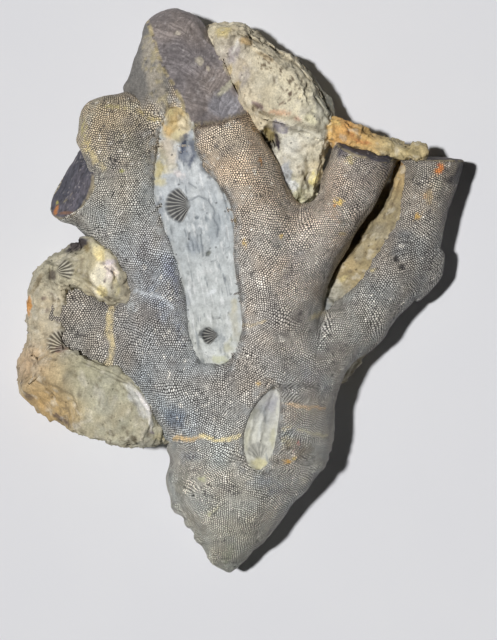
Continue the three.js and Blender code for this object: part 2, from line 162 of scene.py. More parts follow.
limbs = {
    "stem": {
        "round": 2.1,
        "swell": 0.3,
        "crosswise": True,
        "stations": [
            [-1.8, -38.2, 7.0, 1.2, 2.0],
            [-2.0, -35.8, 7.6, 2.9, 4.8],
            [-1.5, -33.0, 8.1, 5.0, 6.9],
            [-1.3, -29.3, 8.6, 7.6, 8.6],
            [-0.4, -25.9, 9.0, 9.9, 9.3],
            [1.0, -22.4, 9.3, 10.3, 9.6],
            [1.2, -17.5, 9.4, 10.1, 9.6],
            [1.6, -12.0, 9.5, 9.3, 9.4],
            [1.8, -6.0, 9.6, 7.6, 8.6],
        ],
    },
    "leftTrunk": {
        "round": 2.2,
        "swell": 0.25,
        "stations": [
            [2.4, -26.0, 9.1, 5.0, 8.0],
            [-1.6, -19.6, 9.3, 6.2, 8.8],
            [-6.4, -13.6, 9.5, 7.0, 8.9],
            [-10.1, -5.9, 9.7, 6.0, 8.3],
            [-10.9, 0.8, 9.8, 4.7, 7.8],
            [-12.6, 6.9, 9.8, 6.2, 7.4],
            [-15.1, 13.0, 9.7, 5.6, 6.9],
            [-16.4, 18.4, 9.4, 5.0, 6.5],
            [-16.9, 23.4, 9.0, 5.3, 5.8],
            [-16.9, 26.1, 8.7, 3.8, 4.8],
        ],
    },
    "leftBranch": {
        "round": 2.2,
        "swell": 0.25,
        "broken": ([-21.9, 16.5, 8.0], [-0.80, 0.46, 0.38]),
        "stations": [
            [-13.5, 9.2, 9.6, 5.0, 6.6],
            [-18.8, 12.9, 9.3, 5.6, 6.2],
            [-22.0, 14.2, 9.0, 5.3, 5.8],
            [-29.4, 16.2, 8.3, 5.2, 5.4],
        ],
    },
    "lowerLeftBranch": {
        "round": 3.0,
        "swell": 0.2,
        "stations": [
            [-9.6, -8.2, 9.2, 6.0, 7.6],
            [-15.5, -7.0, 8.4, 5.3, 6.3],
            [-19.3, -5.6, 7.5, 4.9, 5.8],
            [-22.8, -4.3, 6.8, 5.3, 5.6],
            [-26.6, -3.8, 6.3, 4.4, 5.6],
        ],
    },
    "centreBranch": {
        "round": 2.2,
        "swell": 0.25,
        "notch": [([-8.0, 27.0, 14.4], [0.3, 0.2, 1.0]), ([-3.0, 22.75, 15.5], [-0.27, 0.96, 0.16])],
        "stations": [
            [1.8, -25.0, 9.1, 7.6, 8.2],
            [2.6, -16.8, 9.5, 8.8, 9.2],
            [3.1, -7.3, 10.0, 8.2, 8.8],
            [3.0, 1.5, 10.6, 6.8, 8.0],
            [1.4, 10.3, 11.1, 5.9, 7.4],
            [-1.5, 18.1, 11.3, 5.1, 7.1],
            [-6.9, 24.5, 10.6, 6.8, 6.5],
            [-8.6, 30.0, 9.3, 6.7, 5.7],
            [-9.2, 34.6, 8.5, 4.5, 4.9],
            [-9.7, 38.3, 8.0, 3.3, 3.8],
        ],
    },
    "rightBranch": {
        "round": 2.3,
        "swell": 0.2,
        "broken": ([16.0, 18.9, 13.0], [0.28, 0.9, 0.22]),
        "stations": [
            [5.0, -6.6, 10.0, 5.2, 8.0],
            [5.9, 0.1, 10.6, 4.0, 7.3],
            [10.0, 6.9, 11.0, 4.1, 6.7],
            [12.7, 10.5, 11.1, 3.6, 6.4],
            [15.0, 15.0, 11.1, 4.1, 6.3],
            [18.6, 25.0, 11.0, 4.3, 6.0],
        ],
    },
    "farRightBranch": {
        "round": 2.3,
        "swell": 0.2,
        "broken": ([25.8, 17.9, 8.0], [0.05, 1.0, 0.06]),
        "stations": [
            [3.0, -21.0, 9.2, 6.0, 8.0],
            [7.2, -13.6, 9.0, 4.2, 8.0],
            [11.7, -7.4, 8.4, 3.8, 7.0],
            [15.8, -3.6, 7.9, 4.1, 6.3],
            [19.3, 0.7, 7.5, 3.9, 5.8],
            [22.4, 5.9, 7.2, 3.9, 5.5],
            [24.7, 13.0, 7.0, 3.6, 5.2],
            [26.0, 18.6, 6.9, 4.3, 5.1],
            [27.2, 25.0, 6.8, 4.4, 5.0],
        ],
    },
    "web": {
        "coarser": 2,
        "round": 2.2,
        "swell": 0.0,
        "stations": [
            [-1.0, -14.0, 6.8, 6.0, 6.4],
            [-4.5, -4.0, 6.8, 5.6, 6.2],
            [-6.0, 6.0, 6.8, 5.4, 6.0],
            [-8.5, 14.0, 6.8, 5.0, 5.8],
            [-11.0, 21.0, 6.6, 4.4, 5.4],
        ],
    },
    "knob": {
        "round": 2.0,
        "swell": 0.0,
        "stations": [
            [21.8, 0.2, 6.4, 1.9, 2.6],
            [23.9, 3.0, 6.4, 2.8, 3.6],
            [24.3, 6.0, 6.4, 1.8, 2.6],
        ],
    },
}

colonyPieces = {
    "stem": ["stem"],
    "left_trunk": ["leftTrunk", "web"],
    "left_branch": ["leftBranch"],
    "lower_left_branch": ["lowerLeftBranch"],
    "centre_branch": ["centreBranch"],
    "right_branch": ["rightBranch"],
    "far_right_branch": ["farRightBranch", "knob"],
}


def smoothThrough(stations, share):
    # the curve that passes through every station (a Catmull-Rom curve), at shares 0 to 1 of the way
    rows = np.asarray(stations, float)
    rows = np.vstack([2 * rows[0] - rows[1], rows, 2 * rows[-1] - rows[-2]])
    last = len(rows) - 4
    place = np.clip(share, 0, 1) * (last + 1)
    index = np.clip(place.astype(int), 0, last)
    part = (place - index)[..., None]
    before, here, after, beyond = (rows[index + k] for k in range(4))
    bend = 2 * before - 5 * here + 4 * after - beyond
    twist = 3 * here - before - 3 * after + beyond
    return 0.5 * (2 * here + (after - before) * part + bend * part ** 2 + twist * part ** 3)


def undulation(points):
    # the mean of the slow waves that every limb and rock shares
    return sum(np.sin(points @ np.array(turn) + phase) for turn, phase in waves) / len(waves)


def limbAxes(limb, share):
    # the middle, half width and half height at each share, and the section's sideways and upward directions
    rows = smoothThrough(limb["stations"], share)
    step = 0.002  # how far ahead and behind the direction is measured
    ahead = smoothThrough(limb["stations"], np.clip(share + step, 0, 1))[..., :3]
    behind = smoothThrough(limb["stations"], np.clip(share - step, 0, 1))[..., :3]
    along = unit(ahead - behind)
    if limb.get("crosswise"):
        along = np.broadcast_to(np.array([0.0, 1.0, 0.0]), along.shape)
    side = unit(np.cross(upward, along))
    up = np.cross(along, side)
    return rows[..., :3], rows[..., 3], rows[..., 4], side, up, along


def limbPoints(limb, share, angle):
    # a squarish ellipse of the section's half width and half height, carried along the limb's middle,
    # shrinking as a quarter circle does over each end, and swollen by the undulation
    middle, width, height, side, up, along = limbAxes(limb, share)
    fromEnd = np.clip(np.minimum(share, 1 - share) / colony["ends"], 0, 1)
    if limb.get("broken"):
        fromEnd = np.clip(share / colony["ends"], 0, 1)
    cap = np.sqrt(np.maximum(1 - (1 - fromEnd) ** 2, 0))
    power = 2 / limb["round"]
    across = np.sign(np.cos(angle)) * np.abs(np.cos(angle)) ** power
    rise = np.sign(np.sin(angle)) * np.abs(np.sin(angle)) ** power
    out = side * (width * cap * across)[..., None] + up * (height * cap * rise)[..., None]
    swell = limb["swell"] * undulation(middle + out) / np.maximum(np.linalg.norm(out, axis=-1), 0.5)
    return middle + out * (1 + swell[..., None])


def columnAngles(limb, spacing):
    # angles around the section from its underside, close together where the limb shows, wide below
    sizes = np.asarray(limb["stations"], float)
    width, height = sizes[:, 3].max(), sizes[:, 4].max()
    fine = np.linspace(-math.pi / 2, 3 * math.pi / 2, 1441)
    middle = (fine[1:] + fine[:-1]) / 2
    length = np.hypot(width * np.sin(middle), height * np.cos(middle)) * (fine[1] - fine[0])
    length *= np.where(np.sin(middle) > -0.6, 1.0, 0.3)
    travelled = np.concatenate([[0], np.cumsum(length)])
    count = int(travelled[-1] / spacing)
    return np.interp(np.arange(count) / count * travelled[-1], travelled, fine)


def rowShares(limb, spacing, closed):
    # shares of the way along: crowded in the rounded ends, even between them
    path = smoothThrough(limb["stations"], np.linspace(0, 1, 200))[:, :3]
    length = np.sum(np.linalg.norm(np.diff(path, axis=0), axis=1))
    sizes = np.asarray(limb["stations"], float)
    ends = colony["ends"]
    girth = max(sizes[:, 3].max(), sizes[:, 4].max())
    turn = np.linspace(0.06, math.pi / 2, int((0.8 * girth + ends * length) / spacing))
    start = ends * (1 - np.cos(turn))
    last = 1 - ends if closed else 1.0
    body = np.linspace(ends, last, int((last - ends) * length / spacing))[1:]
    if closed:
        return np.concatenate([start, body, 1 - start[::-1][1:]])
    return np.concatenate([start, body])


def outwardNormals(points):
    # across the rows and columns of a closed tube of points, turned to look away from its middle
    downRows = np.gradient(points, axis=0)
    aroundRows = np.roll(points, -1, axis=1) - np.roll(points, 1, axis=1)
    normals = unit(np.cross(downRows, aroundRows))
    away = points - points.mean(axis=1, keepdims=True)
    if np.sum(normals * away) < 0:
        normals = -normals
    return normals


def limbSkin(limb, spacing):
    # the whole skin of a limb as rows of points, with how far each lies inside a broken face's rim
    angle = columnAngles(limb, spacing)
    if not limb.get("broken"):
        share = rowShares(limb, spacing, True)
        share, angle = np.meshgrid(share, angle, indexing="ij")
        points = limbPoints(limb, share, angle)
        return points, np.full(points.shape[:2], -9.0)
    spot, look = (np.array(v, float) for v in limb["broken"])
    look = look / np.linalg.norm(look)
    trial, around = np.meshgrid(np.linspace(0.2, 1, 500), angle, indexing="ij")
    beyond = (limbPoints(limb, trial, around) - spot) @ look
    first = np.clip(np.argmax(beyond > 0, axis=0), 1, None)
    columns = np.arange(len(angle))
    before, after = beyond[first - 1, columns], beyond[first, columns]
    crossing = trial[first - 1, 0] + before / (before - after) * (trial[1, 0] - trial[0, 0])
    share = rowShares(limb, spacing, False)
    toFace = np.maximum(share - colony["ends"], 0) / (1 - colony["ends"])
    share = share[:, None] + toFace[:, None] * (crossing[None] - 1)
    points = limbPoints(limb, share, np.broadcast_to(angle, share.shape))
    edge = points[-1]
    heart = edge.mean(axis=0)
    rings = int(np.linalg.norm(edge - heart, axis=1).max() / spacing)
    inward = np.linspace(0, 1, rings + 1)[1:-1]
    face = edge[None] + (heart - edge)[None] * inward[:, None, None]
    toRim = np.linalg.norm(edge - heart, axis=1)[None] * inward[:, None]
    onBody = (points - spot) @ look
    return np.concatenate([points, face]), np.concatenate([np.minimum(onBody, 0), np.maximum(toRim, 0.01)])


def nearLimb(limb, points):
    # about how far each point is from a limb's surface: its distance from the nearest section's ellipse
    share = np.linspace(0, 1, 60)
    middle, width, height, side, up, along = limbAxes(limb, share)
    fromEnd = np.clip(np.minimum(share, 1 - share) / colony["ends"], 0, 1)
    if limb.get("broken"):
        fromEnd = np.clip(share / colony["ends"], 0, 1)
    cap = np.maximum(np.sqrt(np.maximum(1 - (1 - fromEnd) ** 2, 0)), 0.25)
    width, height = width * cap, height * cap
    flat = points.reshape(-1, 3)
    squares = (middle ** 2).sum(1)[None] - 2 * flat @ middle.T
    near = np.argmin(squares, axis=1)
    away = flat - middle[near]
    across = np.sum(away * side[near], axis=1)
    rise = np.sum(away * up[near], axis=1)
    past = np.abs(np.sum(away * along[near], axis=1))
    wide, tall = width[near], height[near]
    ratio = np.hypot(across / wide, rise / tall)
    slope = np.hypot(across / wide ** 2, rise / tall ** 2)
    distance = np.where(ratio > tiny, ratio * (ratio - 1) / np.maximum(slope, tiny), -np.minimum(wide, tall))
    past = np.maximum(past - 0.6, 0)  # more than half the gap between two sections
    return np.where(distance > 0, np.hypot(distance, past), distance + past).reshape(points.shape[:-1])


def roundForks(name, points, normals):
    # raises the skin where another limb is near, by the height at which two rounded surfaces meet:
    # height = (reach - (gap - height))^2 / (4 reach), found by repeating it
    reach = colony["fork"]
    shape = points.shape[:-1]
    points, normals = points.reshape(-1, 3), normals.reshape(-1, 3)
    height = np.zeros(len(points))
    for turn in range(2):
        raised = points + normals * height[:, None]
        gap = np.full(len(points), 1e3)
        for other, limb in limbs.items():
            rows = np.asarray(limb["stations"], float)
            wide = rows[:, 3].max() + reach
            near = (points[:, :2] > rows[:, :2].min(0) - wide).all(1) & (points[:, 2] > 0)
            near &= (points[:, :2] < rows[:, :2].max(0) + wide).all(1)
            if other != name and near.any():
                gap[near] = np.minimum(gap[near], nearLimb(limb, raised[near]))
        height = np.clip(reach - np.maximum(gap - height, 0), 0, reach) ** 2 / (4 * reach)
    height = height - colony["sink"] * np.maximum(height - gap, 0)
    return (points + normals * height[:, None]).reshape(*shape, 3)


def cutNotch(points, notch):
    # drops what lies above both planes of a notch straight down onto the higher one, and also returns how far
    # above it was
    heights = []
    floors = []
    for spot, look in notch:
        look = np.array(look, float) / np.linalg.norm(look)
        offset = points - np.array(spot)
        heights.append(offset @ look)
        floors.append(spot[2] - (offset[..., 0] * look[0] + offset[..., 1] * look[1]) / look[2])
    above = np.minimum(heights[0], heights[1])
    cut = points.copy()
    cut[..., 2] = np.where(above > 0, np.maximum(floors[0], floors[1]), points[..., 2])
    return cut, above


# The stone that fills the valleys; stations are x, y, half width in plan.
infills = {
    "centreInfill": {
        "depth": 3.2,
        "dome": -0.5,
        "stations": [
            [-9.3, 24.7, 1.0],
            [-8.9, 22.0, 2.4],
            [-8.9, 18.2, 3.0],
            [-7.8, 13.4, 4.4],
            [-5.8, 9.0, 4.9],
            [-5.1, 4.2, 4.0],
            [-4.0, -1.2, 3.8],
            [-3.7, -5.9, 3.7],
            [-3.9, -10.0, 1.9],
        ],
    },
    "lensInfill": {
        "depth": 2.2,
        "dome": -0.6,
        "stations": [
            [4.4, -13.2, 0.8],
            [3.7, -14.9, 1.7],
            [2.8, -17.4, 2.3],
            [2.2, -20.1, 2.4],
            [2.0, -22.4, 1.8],
            [2.3, -23.9, 0.8],
        ],
    },
}
infillSteps = 160


def colonyTop(x, y):
    # the highest of the limbs' crests over a place in plan: z + height * sqrt(1 - (distance / width)^2)
    flat = np.stack([np.ravel(x), np.ravel(y)], axis=-1)
    best = np.full(len(flat), -1e3)
    for limb in limbs.values():
        crest = np.full(len(flat), -1e3)
        for row in smoothThrough(limb["stations"], np.linspace(0, 1, 61)):
            squares = ((flat - row[:2]) ** 2).sum(1) / row[3] ** 2
            rise = row[4] * np.sqrt(np.maximum(1 - squares, 0))
            crest = np.maximum(crest, np.where(squares < 1, row[2] + rise, -1e3))
        if limb.get("notch"):
            crest = cutNotch(np.column_stack([flat, crest]), limb["notch"])[0][:, 2]
        best = np.maximum(best, crest)
    return best.reshape(np.shape(x))


def infillLines(infill):
    # the filling's middle in plan, its sideways direction, half width, and the stone's height at each edge
    share = np.linspace(0, 1, infillSteps)
    rows = smoothThrough(infill["stations"], share)
    run = unit(np.gradient(rows[:, :2], axis=0))
    side = np.stack([-run[:, 1], run[:, 0]], axis=-1)
    left = rows[:, :2] + side * rows[:, 2:3]
    right = rows[:, :2] - side * rows[:, 2:3]
    edges = np.stack([colonyTop(left[:, 0], left[:, 1]), colonyTop(right[:, 0], right[:, 1])])
    kernel = np.hanning(15) / np.hanning(15).sum()
    edges = np.array([np.convolve(np.pad(e, 7, mode="edge"), kernel, mode="valid") for e in edges])
    return rows[:, :2], side, rows[:, 2], edges


for infill in infills.values():
    infill["lines"] = infillLines(infill)


def infillHeight(infill, share, across):
    # top of the filling: straight between its edges, plus the dome * (1 - across^2)
    middle, side, width, edges = infill["lines"]
    place = share * (infillSteps - 1)
    index = np.arange(infillSteps)
    left, right = np.interp(place, index, edges[0]), np.interp(place, index, edges[1])
    return left * (1 + across) / 2 + right * (1 - across) / 2 + infill["dome"] * (1 - across ** 2)


def infillPlace(points, infill):
    # where each point is in a filling: share along it, share across it, and its depth inside the outline
    middle, side, width, edges = infill["lines"]
    flat = points.reshape(-1, 3)
    near = np.argmin(((flat[:, None, :2] - middle[None, ::4]) ** 2).sum(2), axis=1) * 4
    offset = flat[:, :2] - middle[near]
    across = np.sum(offset * side[near], axis=1) / width[near]
    along = np.abs(offset[:, 0] * side[near, 1] - offset[:, 1] * side[near, 0])
    depth = np.minimum((1 - np.abs(across)) * width[near], 0.7 - along)
    shape = points.shape[:-1]
    return (near / (infillSteps - 1)).reshape(shape), across.reshape(shape), depth.reshape(shape)


def pressUnder(points, infill):
    # lowers the colony's skin inside a filling's outline until it lies under the filling
    share, across, depth = infillPlace(points, infill)
    top = infillHeight(infill, share, np.clip(across, -1, 1))
    lower = np.minimum(points[..., 2], top - 0.45)
    pressed = points.copy()
    pressed[..., 2] += (lower - points[..., 2]) * ease(depth / 0.5)
    return pressed


# Marks are places in plan where something is raised, sunk or coloured.
def ovalMark(points, mark, crisp=1.9):
    # crisp * (1.1 - distance in half widths + noise), kept from 0 to 1: 1 inside a ragged oval, 0 outside it;
    # the oval is x, y, half length, half width, turn
    x, y, long, wide, turn = mark
    turn = math.radians(turn)
    dx, dy = points[..., 0] - x, points[..., 1] - y
    u = (dx * math.cos(turn) + dy * math.sin(turn)) / long
    v = (dy * math.cos(turn) - dx * math.sin(turn)) / wide
    size = max(0.35, 0.8 * min(long, wide))
    ragged = (0.1 + 0.3 / crisp) * rough(points, size, 2, 71)
    return ease(crisp * (1.1 - np.hypot(u, v) + ragged))


def lineMark(points, places, width):
    # 1.5 * (1 - distance / half width), kept from 0 to 1, from a wavering line through the places
    best = np.full(points.shape[:-1], 1e9)
    plan = points[..., :2] + 0.25 * np.stack([cloud(points, 1.2, 91), cloud(points, 1.2, 92)], axis=-1)
    for start, end in zip(places[:-1], places[1:]):
        start, end = np.array(start, float), np.array(end, float)
        run = end - start
        share = np.clip(((plan - start) @ run) / (run @ run), 0, 1)
        best = np.minimum(best, np.linalg.norm(plan - start - share[..., None] * run, axis=-1))
    return ease(1.5 * (1 - best / (width / 2)))


def fanMark(points, fan):
    # a ribbed shell: 1 where it is, and the phase of its ribs, which is pi * ribs * angle / spread
    x, y, heading, spread, reach, ribs = fan
    dx, dy = points[..., 0] - x, points[..., 1] - y
    distance = np.hypot(dx, dy)
    angle = np.degrees(np.arctan2(dy, dx)) - heading
    angle = (angle + 180) % 360 - 180
    rim = reach * (1 - 0.25 * (angle / spread) ** 2)
    inside = ease(6 * (1 - distance / rim)) * ease((spread - np.abs(angle)) / 6)
    return inside * ease(distance / reach * 4), math.pi * ribs * angle / spread


def linear(colour):
    # stored colours (0 to 255) into linear light
    c = np.asarray(colour, float) / 255
    return np.where(c <= 0.04045, c / 12.92, ((c + 0.055) / 1.055) ** 2.4)


def wash(points, base, washes):
    # soft pools of colour (x, y, reach, colour) blended by nearness over a base colour
    total = np.full(points.shape[:-1], 0.15)[..., None]
    colour = total * linear(base)
    for x, y, reach, tone in washes:
        square = (points[..., 0] - x) ** 2 + (points[..., 1] - y) ** 2
        weight = np.exp(-square / (2 * reach ** 2))[..., None]
        colour = colour + weight * linear(tone)
        total = total + weight
    return colour / total


def stain(colour, mask, tone, strength=1.0):
    # colour * (1 - mask) + tone * mask
    mask = np.clip(mask * strength, 0, 1)[..., None]
    return colour * (1 - mask) + linear(tone) * mask


def fleck(colour, points, flecks):
    # stains the peaks of a noise: mask = gain * noise - level;
    # a fleck is size, octaves, seed, gain, level, tone, strength
    for size, octaves, seed, gain, level, tone, strength in flecks:
        colour = stain(colour, ease(gain * rough(points, size, octaves, seed) - level), tone, strength)
    return colour


def tubeFaces(rows, columns, first):
    # quads between neighbouring rows all the way round, and a fan at each pole
    row, column = np.meshgrid(np.arange(rows - 1), np.arange(columns), indexing="ij")
    nextColumn = (column + 1) % columns
    a = first + row * columns + column
    b = first + row * columns + nextColumn
    quads = np.stack([a, b, b + columns, a + columns], axis=-1).reshape(-1, 4)
    ring = np.arange(columns)
    after = (ring + 1) % columns
    startPole = first + rows * columns
    endPole = startPole + 1
    lastRow = first + (rows - 1) * columns
    startFan = np.stack([np.full(columns, startPole), first + after, first + ring], axis=-1)
    endFan = np.stack([np.full(columns, endPole), lastRow + ring, lastRow + after], axis=-1)
    return quads, np.concatenate([startFan, endFan])


def skinMap(points):
    # a flat map in millimetres: distance along the crest, and distance round from the crest
    columns = points.shape[1]
    crest = columns // 2
    along = np.concatenate([[0], np.cumsum(np.linalg.norm(np.diff(points[:, crest], axis=0), axis=1))])
    closed = np.concatenate([points, points[:, :1]], axis=1)
    around = np.cumsum(np.linalg.norm(np.diff(closed, axis=1), axis=2), axis=1)
    around = np.concatenate([np.zeros((len(points), 1)), around], axis=1)
    around = around - around[:, crest:crest + 1]
    return np.stack([np.repeat(along[:, None], columns + 1, axis=1), around], axis=-1)


def makePiece(name, skins, material, node):
    # joins the skins into one closed mesh with its map, tint and marks, and puts it in place of its node;
    # each skin has points (rows, columns, 3), tint (rows, columns, 3) and marks by name (rows, columns)
    places, tints, quadList, triList, quadMap, triMap = [], [], [], [], [], []
    marks = {key: [] for key in skins[0]["marks"]}
    first = 0
    for skin in skins:
        points = skin["points"]
        rows, columns = points.shape[:2]
        poles = np.stack([points[0].mean(axis=0), points[-1].mean(axis=0)])
        poles[:, 2] = np.maximum(poles[:, 2], 0)
        quads, fans = tubeFaces(rows, columns, first)
        spread = skinMap(points)
        corners = np.stack([spread[:-1, :-1], spread[:-1, 1:], spread[1:, 1:], spread[1:, :-1]], axis=2)
        corners = corners.reshape(-1, 4, 2)
        fanEnds = []
        for edge, flip in ((spread[0], True), (spread[-1], False)):
            middle = np.broadcast_to(edge.mean(axis=0), (columns, 2))
            pair = (edge[1:], edge[:-1]) if flip else (edge[:-1], edge[1:])
            fanEnds.append(np.stack([middle, *pair], axis=1))
        fanCorners = np.concatenate(fanEnds)
        middle = (rows // 2) * columns + columns // 2
        a, b, c = points.reshape(-1, 3)[[middle, middle + 1, middle + columns + 1]]
        looks = np.cross(b - a, c - a) @ (a - points[rows // 2].mean(axis=0))
        if looks < 0:
            quads, fans = quads[:, ::-1], fans[:, ::-1]
            corners, fanCorners = corners[:, ::-1], fanCorners[:, ::-1]
        places += [points.reshape(-1, 3), poles]
        tint = skin["tint"]
        tints += [tint.reshape(-1, 3), tint[0].mean(axis=0)[None], tint[-1].mean(axis=0)[None]]
        for key in marks:
            mark = skin["marks"][key]
            marks[key] += [mark.ravel(), [mark[0].mean(), mark[-1].mean()]]
        quadList.append(quads)
        triList.append(fans)
        quadMap.append(corners.reshape(-1, 2))
        triMap.append(fanCorners.reshape(-1, 2))
        first += rows * columns + 2
    places = np.concatenate(places) * metre
    quads, tris = np.concatenate(quadList), np.concatenate(triList)
    mesh = bpy.data.meshes.new(name)
    mesh.from_pydata(places.tolist(), [], quads.tolist() + tris.tolist())
    layer = mesh.uv_layers.new(name="skin")
    layer.data.foreach_set("uv", np.concatenate(quadMap + triMap).ravel())
    colour = np.concatenate(tints)
    colour = np.concatenate([colour, np.ones((len(colour), 1))], axis=1)
    mesh.attributes.new("tint", "FLOAT_COLOR", "POINT").data.foreach_set("color", colour.ravel())
    for key, values in marks.items():
        mesh.attributes.new(key, "FLOAT", "POINT").data.foreach_set("value", np.concatenate(values))
    mesh.polygons.foreach_set("use_smooth", np.ones(len(mesh.polygons), bool))
    mesh.materials.append(material)
    mesh.update()
    piece = bpy.data.objects.new(name, mesh)
    bpy.context.scene.collection.objects.link(piece)
    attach(piece, "root")
    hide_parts(node)
    print("piece", name, 2 * len(quads) + len(tris), "triangles")


